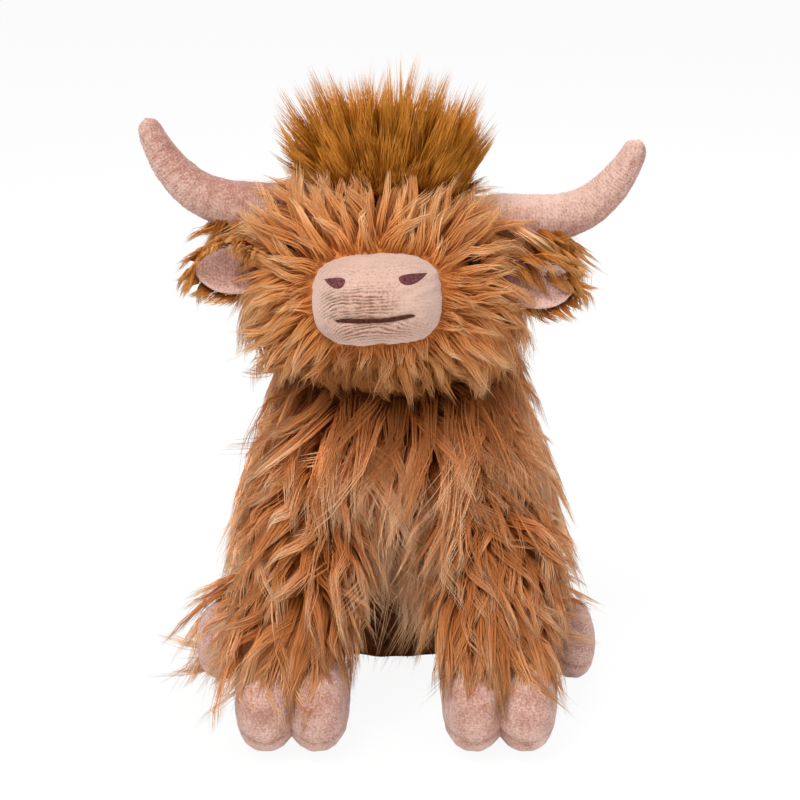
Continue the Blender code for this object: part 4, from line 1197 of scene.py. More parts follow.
def make_head():
    """The cloth of the head with its filling, and the pile over it."""
    sizes = bpy.context.scene.cow_sizes
    rings = head_form(*grid(96, 64), HEAD_DEPTH + 0.0005)
    cover("head_cloth", rings, "face_cloth", "head", "coat", "head_skin")
    fill_with_fibre("head_filling", "head", 13)

    def keep(points):
        """Roots outside the torso, the muzzle and the topknot's foot."""
        inner = local(points)
        plume = (inner[:, 0] / 0.033) ** 2 + ((inner[:, 1] - 0.004) / 0.017) ** 2 < 1
        return ~(in_torso(points, -0.012) | in_muzzle(points, -0.001) | (plume & (inner[:, 2] > 0)))

    def flow(points, normal):
        """Away from the muzzle in front, drawn down below it, and hanging behind."""
        inner = local(points)
        front = smooth(-0.012, 0.030, -inner[:, 1])[:, None]
        radial = unit(inner * (1, 0, 1))
        upper, below = smooth(-0.1, 0.6, radial[:, 2]), smooth(0.2, 0.8, -radial[:, 2])
        face = radial + vectors(-0.45 * upper * radial[:, 0], 0.15 + 0.6 * below, -0.38 * (1 - upper))
        behind = smooth(-0.01, 0.02, inner[:, 1])
        hanging = vectors(0.45 * np.sign(inner[:, 0]), 0.15 + behind, -0.9)
        return turned(front * unit(face) + (1 - front) * unit(hanging))

    def under(points):
        """How far points belong to the chin, from 0 to 1."""
        inner = local(points)
        low = smooth(0.014, 0.036, -inner[:, 2]) * smooth(0.056, 0.030, np.abs(inner[:, 0]))
        return low * (inner[:, 1] < 0.01)

    def beside(points):
        """How far points belong to the head's sides, from 0 to 1."""
        inner = local(points)
        return smooth(0.035, 0.058, np.abs(inner[:, 0])) * smooth(0.03, 0.0, inner[:, 2])

    def behind(points):
        """How far points belong to the back of the head, from 0 to 1."""
        return smooth(0.0, 0.03, local(points)[:, 1])

    def lengths(points):
        """Short beside the muzzle, long over the brow, and short and uneven under the chin."""
        ahead = local(points, MUZZLE_POSE)
        edge = np.linalg.norm(ahead[:, :2] / MUZZLE_HALVES[:2], axis=-1) - 1
        near = (1 - smooth(0.0, 0.55, edge)) * (ahead[:, 2] > -0.02)
        near = near * (1 - 0.45 * smooth(0.3, 0.8, unit(ahead)[:, 1]))
        brow = smooth(0.01, 0.035, ahead[:, 1]) * (np.abs(ahead[:, 0]) < 0.045)
        long = sizes.cheek * (1 + 0.4 * brow - 0.48 * under(points))
        uneven = 1 + 0.12 * ripple(points, 0.03, 22) + 0.42 * under(points) * ripple(points, 0.013, 25)
        return (long + (sizes.face - long) * near) * uneven

    def lift(points, normal):
        return 58 - 26 * under(points) - 18 * beside(points) - 16 * behind(points)

    def lie(points, normal):
        return 8 - 16 * under(points) - 16 * beside(points) - 14 * behind(points)

    # Painted shadow: the chin's locks are darker, as if in the muzzle's shadow
    def shade(points):
        return 1.5 * under(points)

    def tidy(paths, rng):
        """Fewer strands behind, none on the muzzle's face, and few between the left eye and the camera."""
        stay = (paths[:, 0, 1] < HEAD_POSE[1, 3] + 0.012) | (rng.uniform(size=len(paths)) < 0.62)
        for k in range(1, paths.shape[1]):
            stay &= ~in_muzzle(paths[:, k], 0.0)
        eye = eye_pose(1)[:3, 3]
        view = unit(camera_place() - eye)
        for points in (paths, (paths[:, 1:] + paths[:, :-1]) / 2):
            offset = points - eye
            ahead = offset @ view
            apart = np.linalg.norm(offset - ahead[..., None] * view, axis=-1)
            crosses = ((apart < 0.0015) & (ahead > -0.001) & (ahead < 0.03)).any(1)
            stay &= ~crosses | (rng.uniform(size=len(paths)) < 0.35)
        return stay

    places = ("left", "back_left", "back_right", "right", "front_right", "front_left")
    style = {"lift": lift, "lie": lie, "sag": 0.1, "twist": 12, "sway": 0.22, "wave": 0.11, "steps": 5}
    style.update(depth=HEAD_DEPTH, clump=0.78, jitter=0.0003, thick=0.9, shade=shade)
    parts = (HEAD_POSE[:2, 3], [f"head_pile_{place}" for place in places])
    pile = finish_named("face_pile")
    coat("head", "coat", head_form, keep, flow, lengths, style, 102, parts, pile, 1.6, 0.88, tidy)


def eye_pose(sign):
    """Matrix with its Z axis along an eye's stem and its origin on the seat under the dome."""
    way = EYE_PLACE * (sign, 1, 1)
    point = way / fullness(way, HEAD_HALVES, HEAD_SQUARENESS) ** (1 / HEAD_SQUARENESS)
    slope = unit(signed_power(point / HEAD_HALVES, HEAD_SQUARENESS - 1) / HEAD_HALVES)
    turn = Vector(UP).rotation_difference(Vector(slope)).to_matrix().to_4x4()
    return HEAD_POSE @ np.array(Matrix.Translation(point - EYE_SEAT_DEPTH * slope) @ turn)


def make_eyes():
    """Glossy domes on stems, turned from a profile of heights and radii, and the finish of their washers."""
    angle = np.linspace(0, math.pi / 2, 14)
    dome = np.stack([EYE_RISE * np.sin(angle), EYE_RADIUS * np.cos(angle)], -1)
    foot = -EYE_STEM_LENGTH
    stem = [(foot, 0), (foot, 0.8 * EYE_STEM_RADIUS), (0.95 * foot, EYE_STEM_RADIUS)]
    neck = [(-0.0004, EYE_STEM_RADIUS), (0, 0.0022), (0, 0.9 * EYE_RADIUS), (0.0001, 0.985 * EYE_RADIUS)]
    profile = np.concatenate([stem, neck, dome])
    profile[-1, 1] = 0
    cosine, sine = ellipse_ring(np.arange(32) / 32)
    for name, sign in SIDES:
        rings = vectors(profile[:, 1:] * cosine, profile[:, 1:] * sine, profile[:, :1])
        eye = shell(f"eye_dome_{name}", placed(rings, eye_pose(sign)), finish_named("eye_gloss"))
        place(eye, "head", "eye_gloss", f"eye_{name}")
        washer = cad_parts[f"eye_washer_{name}"]
        washer.data.materials.clear()
        washer.data.materials.append(finish_named("washer_plastic"))


# Muzzle


def mouth_height(x):
    """Height of the mouth's line: level, with its left third rising."""
    return -MOUTH_DROP - 0.03 * (x + 0.019) + 0.0020 * smooth(0.002, 0.020, x)


def muzzle_wrinkles(x, y):
    """Way across the muzzle's folds in metres, whose period is the nap's, and how strong they are, from 0 to 1.

    They lie level from the right nostril to the mouth, bend down at the cheek, and arch below the mouth.
    Smooth noise bends them. The nap's lines follow the same way and strength, painting shade in the folds'
    valleys and light on their ridges.
    """
    spot = vectors(x, 2.0 * y, 0)
    level = smooth(-0.0285, -0.018, x) * smooth(0.015, -0.006, x)
    level = level * smooth(0.0105, 0.002, y) * smooth(-0.0100, -0.006, y)
    slanting = smooth(0.024, 0.008, np.abs(x + 0.001)) * smooth(0.0075, 0.0020, np.abs(y + 0.0140))
    arch = 10 * smooth(-0.0075, -0.0095, y) * x ** 2 + 28 * np.maximum(-0.013 - x, 0) ** 2
    way = 0.85 * y + arch + 0.00034 * ripple(spot, 0.013, 33) + 0.00010 * ripple(spot, 0.006, 34)
    return way, np.clip((level + 0.7 * slanting) * (0.85 + 0.35 * ripple(spot, 0.008, 35)) + 0.14, 0, 1.2)


def muzzle_relief(x, y):
    """How far the muzzle's face stands out at places across and up it: folds, a notch and stitched dips."""
    spot = vectors(x, y, 0)
    folds = 0.00022 * ripple(spot * (1, 2.2, 1), 0.011, 31) + 0.00014 * ripple(spot, 0.005, 32)
    notch = -0.0011 * bell((x, 0.0015, 0.0034)) * smooth(0.0130, 0.0205, -y)
    lip = -0.0009 * bell((y, mouth_height(x), 0.0020)) * smooth(0.023, 0.016, np.abs(x))
    pout = 0.0011 * bell((x, 0.001, 0.017), (y, -0.0140, 0.0050))
    places = NOSTRIL_PLACES.values()
    dips = sum(-0.0006 * bell((x, aside, 0.0065), (y, rise, 0.0038)) for aside, rise in places)
    way, force = muzzle_wrinkles(x, y)
    return folds - 0.00022 * force * np.sin(2 * math.pi * way / NAP_PERIOD) + notch + lip + pout + dips


def muzzle_shade(x, y):
    """Shade of the muzzle's nap: darker round the mouth and just above it, paler at the left, and paler at the
    rim, which is painted sheen.
    """
    patch = bell((x, 0.003, 0.011), (y, -0.001, 0.006))
    below = bell((x, 0.002, 0.020), (y, -0.0130, 0.0045))
    pale = bell((x, 0.021, 0.008), (y, 0.001, 0.009))
    rim = smooth(0.75, 1.0, np.maximum(np.abs(x) / MUZZLE_HALVES[0], np.abs(y) / MUZZLE_HALVES[1]))
    return 0.60 - 0.15 * patch - 0.14 * below + 0.16 * pale + 0.14 * rim


def muzzle_point(x, y, rise=0.0):
    """Points of the muzzle's face at places across and up it, lifted by a height, in place."""
    wide, high, deep = MUZZLE_HALVES
    plan = np.abs(x / wide) ** MUZZLE_SQUARENESS + np.abs(y / high) ** MUZZLE_SQUARENESS
    plan = plan ** (1 / MUZZLE_SQUARENESS)
    ahead = deep * np.maximum(1 - plan ** MUZZLE_CROWN, 0) ** (1 / MUZZLE_CROWN)
    slopes = (signed_power(part, MUZZLE_SQUARENESS - 1) * 0.35 for part in (x / wide, y / high))
    way = unit(vectors(*slopes, 1))
    return placed(vectors(x, y, ahead) + (muzzle_relief(x, y) + rise)[..., None] * way, MUZZLE_POSE)


def make_nostril(name, sign):
    """Stitches in a half moon whose inner end is the narrower, domed from its rim, with fine ridges."""
    turn, way_in = grid(72, 16)
    out = 1 - way_in
    slope, (aside, rise) = NOSTRIL_SLOPES[sign], NOSTRIL_PLACES[sign]
    cosine, sine = ellipse_ring(turn)
    low = np.where(sine > 0, 0.35 * sine, sine) * np.abs(np.sin(math.pi * turn)) ** 0.8
    along = cosine * out * NOSTRIL_HALF_WIDTHS[sign]
    high = low * out * NOSTRIL_HALF_HEIGHT + 0.0005 * np.maximum(along / NOSTRIL_HALF_WIDTHS[sign], 0) ** 2
    x = aside + sign * (along * math.cos(slope) - high * math.sin(slope))
    y = rise + along * math.sin(slope) + high * math.cos(slope)
    ridges = 0.00009 * np.sin(2 * math.pi * (along + 0.3 * high) / 0.0006)
    top = muzzle_point(x, y, -0.0003 + (0.0011 + ridges) * np.sqrt(np.maximum(1 - out ** 4, 0)))
    bottom = muzzle_point(x, y, -0.0006)
    rings = np.concatenate([draw_in(bottom, -1)[::-1], draw_in(top, -1)])
    piece = shell(f"nostril_stitches_{name}", rings, finish_named("embroidery"))
    place(piece, "head", "embroidery", f"nostril_{name}")


def make_muzzle():
    """The cushion with its filling, the stitched nostrils and the mouth."""
    u, v = grid(260, 130, 0.40, 1.0)
    rings = muzzle_form(u, v)
    way = normals(muzzle_form, u, np.clip(v, 0.4, 0.998))
    way[-1] = (0, 0, 1)
    relief = muzzle_relief(rings[..., 0], rings[..., 1]) * smooth(0.40, 0.55, v)
    rings = draw_in(rings + relief[..., None] * way, -1)
    across, up = rings[..., 0], rings[..., 1]
    way, force = muzzle_wrinkles(across, up)
    nap = (way, muzzle_shade(across, up), force)
    rings = placed(rings, MUZZLE_POSE)
    cover("muzzle_cushion", rings, "beige_short_nap", "head", "muzzle_nap", "muzzle_skin", nap)
    fill_with_fibre("muzzle_filling", "head", 14)
    for name, sign in SIDES:
        make_nostril(name, sign)

    x = 0.0005 + np.linspace(-MOUTH_WIDTH / 2, MOUTH_WIDTH / 2, 150)[:, None]
    turn = np.arange(16)[None] / 16
    ends = np.sqrt(np.maximum(1 - np.abs(np.linspace(-1, 1, 150)) ** 6, 0))[:, None]
    twist = 1 + 0.14 * np.sin(2 * math.pi * (x / 0.0011 + 2 * turn))
    cosine, sine = ellipse_ring(turn)
    y = mouth_height(x) + 0.00100 * ends * twist * cosine
    line = muzzle_point(x + 0 * turn, y, 0.0002 + 0.0008 * ends * twist * sine)
    place(shell("mouth_stitches", line, finish_named("mouth_embroidery")), "head", "embroidery", "mouth")


# Horns, topknot and ears


def make_horn(name, sign, index):
    """A short-nap horn with faint folds, its filling, and the fringe of pile round its root."""
    sizes = bpy.context.scene.cow_sizes
    form = horn_form(sign)
    u, v = grid(48, 130)
    rings = form(u, v)
    way = normals(form, u, np.clip(v, 0.004, 0.996))
    inner = np.clip(np.cos(2 * math.pi * (u - 0.25)), 0, 1)
    low = np.clip(-np.sin(2 * math.pi * u), 0, 1)
    pleats = 0.00025 * inner * np.sin(v * 150) ** 2 * smooth(0.3, 0.5, v)
    folds = 0.00014 * ripple(rings, 0.006, 41 + index) - pleats
    rings = draw_in(rings + (folds * smooth(1.0, 0.93, v))[..., None] * way, -1)
    # Painted shade where low and painted highlight where inner, which are the left horn's underside and upper
    # side; painted shade in the folds' dips and light on their rises; a paler tip and a darker right horn
    shade = 0.50 - 0.08 * (sign < 0) - 0.14 * low + 0.16 * (1 - low) * inner
    shade = shade + 0.14 * smooth(0.88, 1.0, v) + 400 * folds
    nap = (HORN_ARC * v, shade, smooth(0.9, 0.7, v))
    cover(f"horn_cushion_{name}", rings, "pink_short_nap", "head", "pink_nap", f"horn_{name}_skin", nap)
    fill_with_fibre(f"horn_{name}_filling", "head", 15 + index)

    def keep(points):
        """Roots on the horn's underside, outside the head."""
        inner = local(points)
        share = np.clip((np.abs(inner[:, 0]) - HORN_ROOT[0]) / (HORN_TIP[0] - HORN_ROOT[0]), 0, 1)
        rise = np.interp(share, *np.array(HORN_SHARES).T[:2])
        middle = HORN_ROOT[2] + (HORN_TIP[2] - HORN_ROOT[2]) * rise
        return ~in_head(points, -0.006) & (inner[:, 2] < middle - 0.25 * HORN_RADIUS)

    def lengths(points):
        return sizes.fringe * (1 + 0.15 * ripple(points, 0.02, 23)) * (1 - 0.22 * (points[:, 0] < 0))

    flow = turned(np.array((sign * 0.95, -0.15, -0.75)))
    style = {"lift": 34, "lie": 4, "sag": 0.3, "depth": 0.002, "span": (0.04, 0.36), "steps": 4, "clump": 0.86}
    parts = ((0, 0), [f"horn_fringe_{name}"])
    pile = finish_named("amber_pile")
    coat("head", "coat", form, keep, flow, lengths, style, 103 + index, parts, pile, 3.0, 0.7)


def plume_paths(ends, lean, steps=5):
    """Parabolas from feet on the crown, through a point above each, to ends on the topknot's form.

    Each leans outwards by a share of its place aside.
    """
    inner = local(ends)
    rise = (inner[:, 2] - HEAD_HALVES[2] + TOPKNOT_ROOT) / TOPKNOT_HEIGHT
    foot = (inner[:, :2] + np.outer(rise, (0, TOPKNOT_FORWARD))) * (0.74 - 0.26 * rise[:, None])
    crown = np.maximum(1 - fullness(foot, HEAD_HALVES[:2], HEAD_SQUARENESS), 0) ** (1 / HEAD_SQUARENESS)
    root = vectors(foot[:, 0], foot[:, 1], (HEAD_HALVES[2] - 0.008) * crown)
    aside = lean * smooth(0.6, 1.0, np.abs(inner[:, 0]) / TOPKNOT_HALF_WIDTH) * np.sign(inner[:, 0])
    tip = inner + vectors(aside, 0, 0)
    over = root + (tip - root) * (0.35, 0.35, 0.62)
    t = np.linspace(0, 1, steps)[None, :, None]
    return placed((1 - t) ** 2 * root[:, None] + 2 * t * (1 - t) * over[:, None] + t ** 2 * tip[:, None])


def make_topknot():
    """The plume: swirling locks on the crown, with each strand drawn to its lock by its way along."""
    sizes = bpy.context.scene.cow_sizes
    rng = np.random.default_rng(105)
    lock_ends, _ = scatter(topknot_form, 1 / (sizes.lock * 1.25) ** 2, 0.0, rng, *PLUME_SPAN)
    count = len(lock_ends)
    locks = plume_paths(lock_ends, 0.008 * rng.uniform(-0.3, 1, count))
    along = np.linspace(0, 1, locks.shape[1])[None, :, None]
    locks = locks[:, :1] + (locks - locks[:, :1]) * rng.uniform(0.90, 1.2, (count, 1, 1))
    locks += 0.0030 * along ** 1.5 * rng.normal(size=(count, 1, 3)) * (1, 1, 0.6)
    swirl = np.sin(2 * math.pi * (along * 1.1 + rng.uniform(size=(count, 1, 1))))
    locks += 0.0010 * swirl * along * rng.normal(size=(count, 1, 3))
    ends, _ = scatter(topknot_form, sizes.density * 1.15e6, 0.0, rng, *PLUME_SPAN)
    own = nearest(ends, lock_ends)
    loose = (rng.uniform(size=len(ends)) < 0.10)[:, None, None]
    pull = np.where(loose, 0.4, 0.94) * along ** 1.5
    size = np.clip(rng.normal(0.95, 0.10, len(ends)), 0.55, 1.08)[:, None, None]
    free, guide = plume_paths(ends, 0.0), locks[own]
    path = free[:, :1] + (free - free[:, :1]) * (1 - pull) * size + (guide - guide[:, :1]) * pull * size
    path += 0.0003 * along * rng.normal(size=path.shape)
    path[..., 0] -= 0.35 * np.maximum(path[..., 0] - 0.030, 0)
    path[..., 2] = np.minimum(path[..., 2], HIGHEST)
    tints, lock_tints = rng.uniform(size=len(path)), rng.uniform(size=count)[own]
    front = path[:, -1, 1] < np.median(path[:, -1, 1])
    radius, pile = sizes.strand * 1.2, finish_named("ochre_pile")
    for name, chosen, nodes in (("front", front, ["topknot"]), ("back", ~front, [])):
        piece = strands(f"topknot_pile_{name}", path[chosen], tints[chosen], lock_tints[chosen], radius, pile)
        place(piece, "head", "topknot_pile", *nodes)


def make_ear(name, sign, index):
    """An ear's cloth back with its pile, and the cupped lining in front of it."""
    sizes = bpy.context.scene.cow_sizes
    body = f"ear_{name}"
    across, along = np.meshgrid(np.linspace(-1, 1, 33), np.linspace(0.0, 1.0, 60))
    edge = np.sqrt(np.maximum(1 - across ** 8, 0))

    def leaf(front, rear, widen):
        """Rings round a leaf, from its front's and its rear's depth."""
        sheets = (ear_sheet(sign, along, across, depth, widen) for depth in (front, rear))
        return np.concatenate([side[:, ::way] for side, way in zip(sheets, (1, -1))], 1)

    rings = leaf(-0.0002, -EAR_THICKNESS * 0.8 * edge - 0.0004, -0.0012)
    place(shell(f"ear_cloth_{name}", rings, finish_named("coat_cloth")), body, "coat", f"ear_{name}_back")
    soft = 0.0002 * ripple(rings[:, :33], 0.007, 51 + index)
    # Painted shade in the cup: darker near the root and in the middle, paler towards the rims
    shade = 0.42 + 0.20 * smooth(0.55, 1.0, np.abs(across)) - 0.16 * smooth(0.6, 0.1, along)
    nap = (EAR_LENGTH * np.concatenate([along] * 2, 1), np.concatenate([shade, shade[:, ::-1]], 1), 1.0)
    rings = leaf(0.0006 + 0.0017 * edge + soft, 0.0001, -0.0009)
    lining = shell(f"ear_nap_{name}", rings, finish_named("pink_short_nap"), nap)
    place(lining, body, "pink_nap", f"ear_{name}_lining")

    rng = np.random.default_rng(106 + index)
    _, out, up, ahead = (turned(part) for part in ear_axes(sign))

    def ear_roots(density):
        """Roots on the leaf's back and rim and its front's upper and outer parts, with the way off the cloth."""
        count = int(density * EAR_AREA * 1.5)
        share = rng.uniform(0.06, 1.0, count)
        cross = rng.uniform(-1.1, 1.1, count)
        fore = rng.uniform(size=count) < 0.38
        bare = fore & (cross < EAR_COVER[sign]) & (share < EAR_BARE)
        share, cross, fore = share[~bare], cross[~bare], fore[~bare]
        spot = ear_sheet(sign, share, np.clip(cross, -1, 1), np.where(fore, 0.0018, -0.0025))
        rim = smooth(0.55, 1.05, np.abs(cross))[:, None]
        facing = np.where(fore, 1, -1)[:, None] * ahead
        way = unit(facing * (1 - 0.8 * rim) + up * np.sign(cross)[:, None] * rim)
        return spot, way, share, cross

    spot, way, share, cross = ear_roots(1 / (sizes.lock * 0.62) ** 2)
    flow = out * (0.9 - 0.4 * np.abs(cross))[:, None] + (0.2 * cross)[:, None] * up - 0.5 * UP
    flow = flow + (0.5 * smooth(0.5, 1.0, cross))[:, None] * ahead
    long = sizes.fringe * (0.50 - 0.16 * share + 0.16 * smooth(0, 0.8, cross))
    long = long * rng.uniform(0.8, 1.15, len(share))
    locks = comb(spot, way, flow, long, rng, lift=38, lie=-2, sway=0.2, sag=0.35, steps=4)
    paths, own = gather(ear_roots(sizes.density * 3.2e6)[0], locks, rng, clump=0.86)
    tints, lock_tints = rng.uniform(size=len(paths)), rng.uniform(size=len(locks))[own]
    pile = finish_named("amber_pile")
    place(strands(f"ear_pile_{name}", paths, tints, lock_tints, sizes.strand * 0.9, pile), body, "coat")


# Legs and hooves


def toe_crease(height, aside, sine):
    """How far places in front of a hoof, whose turn has this sine, lie in the fold across its toes."""
    return bell((height, TOE_HEIGHT + TOE_WAVE * np.cos(aside / 0.004), 0.0011)) * smooth(-0.3, -0.7, sine)


def hoof_rings(hoof, sign, columns=104, rows=60):
    """Both lobes as one star-shaped surface round the hoof's middle, with a soft cleft, flat underneath.

    Along each direction the surface is the further of the two lobes', found by halving.
    """
    u, v = grid(columns, rows)
    sine = ellipse_ring(u)[1]
    way = sphere_ways(u, v)
    halves = np.array((hoof.half_width, hoof.half_length, hoof.height / 2))
    reach = []
    for side in (1, -1):
        low, high = np.zeros(u.shape), np.full(u.shape, 3 * hoof.half_length)
        for _ in range(26):
            guess = (low + high) / 2
            offset = guess[..., None] * way - (side * hoof.spread, 0, 0)
            inside = fullness(offset, halves, LOBE_SQUARENESS) < 1
            low, high = np.where(inside, guess, low), np.where(inside, high, guess)
        reach.append(low)
    far = np.maximum(*reach) + 0.0006 * np.exp(-np.abs(reach[0] - reach[1]) / 0.0012)
    points = far[..., None] * way
    pleats = 0.00045 * bell((points[..., 0], 0, 0.006)) * np.sin(points[..., 2] * 1500) ** 2 * (sine < 0)
    wrinkles = 0.00020 * ripple(points, 0.006, 61) - pleats
    crease = toe_crease(points[..., 2] + hoof.height / 2, points[..., 0], sine)
    points = points + (wrinkles - 0.0007 * crease)[..., None] * way
    points = points * (sign, 1, 1) + (sign * hoof.foot[0], hoof.foot[1], hoof.height / 2)
    points[..., 2] = np.maximum(points[..., 2], 0)
    return points


def make_hoof(pair, name, sign, hoof, seed):
    """A hoof's cushion in short nap with a soft cleft: painted shade in its toe crease, paler fuzz at its lower
    front, and a tone paler at the foot and darker towards the top.
    """
    rings = hoof_rings(hoof, sign)
    height = rings[..., 2]
    ahead = (rings[..., 1] - hoof.foot[1]) / hoof.half_length
    crease = toe_crease(height, rings[..., 0] * sign - hoof.foot[0], ahead)
    fuzz = smooth(0.012, 0.004, height) * smooth(-0.3, -0.7, ahead)
    shade = 0.50 + 0.10 * smooth(0.006, 0.0, height) - 0.10 * smooth(0.012, 0.030, height)
    # Painted shade in the toe crease; the fuzz is the nap's own paler tone
    nap = (height, shade + 0.08 * fuzz - 0.2 * crease + 0.06 * ripple(rings, 0.012, seed), 0.8)
    body, node_name = f"{pair}_leg_{name}", f"{pair}_hoof_{name}"
    cover(f"{pair}_hoof_cushion_{name}", rings, "pink_short_nap", body, "pink_nap", node_name, nap)


def make_leg(pair, name, sign, limb, hoof, seed):
    """A leg's cloth, filling, hoof and pile."""
    sizes = bpy.context.scene.cow_sizes
    body = f"{pair}_leg_{name}"
    form = limb_form(limb, sign)
    rings = form(*grid(64, 60), sizes.depth)
    rings[..., 2] = np.maximum(rings[..., 2], 0.0005)
    cover(f"{body}_cloth", draw_in(rings, 0, -1), "coat_cloth", body, "coat", f"{body}_skin")
    fill_with_fibre(f"{body}_filling", body, seed)
    make_hoof(pair, name, sign, hoof, seed)
    start, end, way = (part * (sign, 1, 1) for part in limb_span(limb))
    foot = sign * hoof.foot[0]

    def keep(points):
        return ~(in_torso(points, -0.011) | in_hoof(hoof, points, -0.002)) & (points[:, 2] > 0.004)

    def along(points):
        return (points - start) @ way / np.linalg.norm(end - start)

    def flow(points, normal):
        """Down the leg, spread outwards at the shoulder."""
        if pair == "hind":
            return way * 0.8 + np.array((sign * 0.3, 0, -0.9))
        inner = smooth(0.1, 0.8, -normal[:, 0] * sign) * smooth(0.05, 0.075, points[:, 2])
        spread = outward(points) * (0.9 - 0.6 * smooth(0.35, 0.9, along(points))) * (1 - 1.5 * inner)
        return way + vectors(spread, 0, -0.25)

    def lengths(points):
        if pair == "hind":
            longer = -0.28 if sign > 0 else 0.2
        else:
            low = smooth(0.08, 0.06, points[:, 2]) * smooth(0.5, 0.9, points[:, 0] * sign / 0.07) * (sign < 0)
            longer = 0.1 * smooth(0.5, 0.8, along(points)) + 0.4 * low
        return sizes.coat * (1 + longer) * (1 + 0.15 * ripple(points, 0.04, 24))

    def lift(points, normal):
        return 48 - 22 * smooth(0.30, 0.10, along(points)) - (8 if pair == "hind" else 0)

    def lie(points, normal):
        """Locks on the outer and the upper inner sides end away from the cloth."""
        height = points[:, 2]
        outer = smooth(0.4, 0.95, normal[:, 0] * sign) * smooth(0.03, 0.06, height)
        outer = outer * smooth(0.12, 0.09, height)
        inner = smooth(0.4, 0.95, -normal[:, 0] * sign) * smooth(0.05, 0.075, height)
        return -4 + 12 * outer + 24 * inner

    def over(paths, rng):
        if pair == "front":
            paths = hold_in(paths, rng)
        paths = off_hoof(paths, hoof, sign)
        if pair == "front" or sign > 0:
            paths = cut_short(paths, hoof, sign, rng)
        paths[..., 1] = np.maximum(paths[..., 1], FOREMOST)
        return paths

    def tidy(paths, rng):
        """No strands on the floor in front."""
        return (paths[:, -1, 2] > 0.012) | (paths[:, -1, 1] > -0.11)

    def hem_keep(points):
        """Roots on the leg's front and top, above the hoof."""
        near = (np.abs(points[:, 0] - foot) < 0.030) & (points[:, 2] > hoof.height * 0.8)
        return keep(points) & near & (points[:, 1] < end[1] + 0.012)

    def hem_flow(points, normal):
        """Down the leg, a little towards the middle of the hoof."""
        return way + vectors((foot - points[:, 0]) * 5, 0, -0.25)

    def hem_lengths(points):
        share = 1.9 if pair == "front" else 0.7 if sign > 0 else 1.2
        return sizes.coat * share * (1 + 0.2 * ripple(points, 0.01, seed))

    # Painted shade: the front legs' locks a little darker, the left leg's more, as if under the chest's locks
    shade = (0.45 if sign > 0 else 0.3) if pair == "front" else 0
    style = {"lift": lift, "lie": lie, "sag": 0.14, "span": (0.0, 0.99), "over": over, "shade": shade}
    left, right = ("outer", "inner") if sign > 0 else ("inner", "outer")
    sides = (left, "back", right, "front") if pair == "front" else (left, right)
    parts = (((start + end) / 2)[:2], [f"{body}_pile_{side}" for side in sides])
    pile = finish_named("coat_pile")
    coat(body, "coat", form, keep, flow, lengths, style, seed + 100, parts, pile, tidy=tidy)
    style.update(lift=28, lie=-8, sag=0.3, span=(0.66, 0.99), steps=5, twist=9, sway=0.15)
    parts = ((0, 0), [f"{body}_pile_hem"])
    coat(body, "coat", form, hem_keep, hem_flow, hem_lengths, style, seed + 140, parts, pile, 1.4, 0.9, tidy)


# Tail


def make_tail():
    """The tail's plush tube with its pile, and the tuft at its end."""
    top = np.array(TAIL_TOP)
    end = np.array((TAIL_ASIDE, top[1] + TAIL_REACH, TUFT_RADIUS))
    form = limb_form(Limb(top, end, TAIL_ROOT, TAIL_RADIUS, TAIL_RADIUS, LEG_SHARES), 1)
    u, v = grid(24, 24)
    rings = draw_in(form(u, v, TAIL_DEPTH), 0, -1)
    cover("tail_cloth", rings, "coat_cloth", "tail", "coat", "tail_skin")

    def above(points):
        return (points[:, 2] > 0.002) & ~in_torso(points, -0.006)

    style = {"lift": 40, "lie": 4, "depth": TAIL_DEPTH, "sag": 0.1, "span": (0.1, 0.98)}
    parts = ((0, 0), ["tail_pile"])
    pile, ochre = finish_named("coat_pile"), finish_named("ochre_pile")
    coat("tail", "coat", form, above, unit(end - top), 0.016, style, 131, parts, pile, 1.2, 0.7)

    lie = unit(np.array((TAIL_ASIDE, TAIL_REACH / 2, 0)))
    first, last = end - TUFT_RADIUS * lie, end + (TUFT_LENGTH - TUFT_RADIUS) * lie
    tuft = limb_form(Limb(first, last, 0.0, TUFT_RADIUS, TUFT_RADIUS, TUFT_SHARES), 1)
    rings = draw_in(tuft(u, v, TUFT_DEPTH), 0, -1)
    rings[..., 2] = np.maximum(rings[..., 2], 0.0005)
    place(shell("tail_tuft_cloth", rings, finish_named("ochre_cloth")), "tail", "topknot_pile", "tail_tuft")
    style = {"lift": 35, "lie": 2, "depth": TUFT_DEPTH, "sag": 0.1, "span": (0.03, 0.9)}
    parts = ((0, 0), ["tail_tuft_pile"])
    coat("tail", "topknot_pile", tuft, above, lie, 0.02, style, 132, parts, ochre, 1.4, 0.7)


# Stage


def camera_place():
    """The camera's position."""
    back = np.array((0, -math.cos(CAMERA_ELEVATION), math.sin(CAMERA_ELEVATION)))
    return np.array(CAMERA_TARGET) + CAMERA_DISTANCE * back


def aimed(name, data, place_at):
    """A lamp or camera at a place, pointed at the middle of the toy."""
    obj = bpy.data.objects.new(name, data)
    obj.location = place_at
    obj.rotation_euler = (Vector(CAMERA_TARGET) - Vector(place_at)).to_track_quat("-Z", "Y").to_euler()
    bpy.context.scene.collection.objects.link(obj)
    return obj


def area_light(name, place_at, size, power, colour=(1, 1, 1)):
    """A soft square lamp."""
    data = bpy.data.lights.new(name, "AREA")
    data.size = size
    data.energy = power
    data.color = colour
    aimed(name, data, place_at)


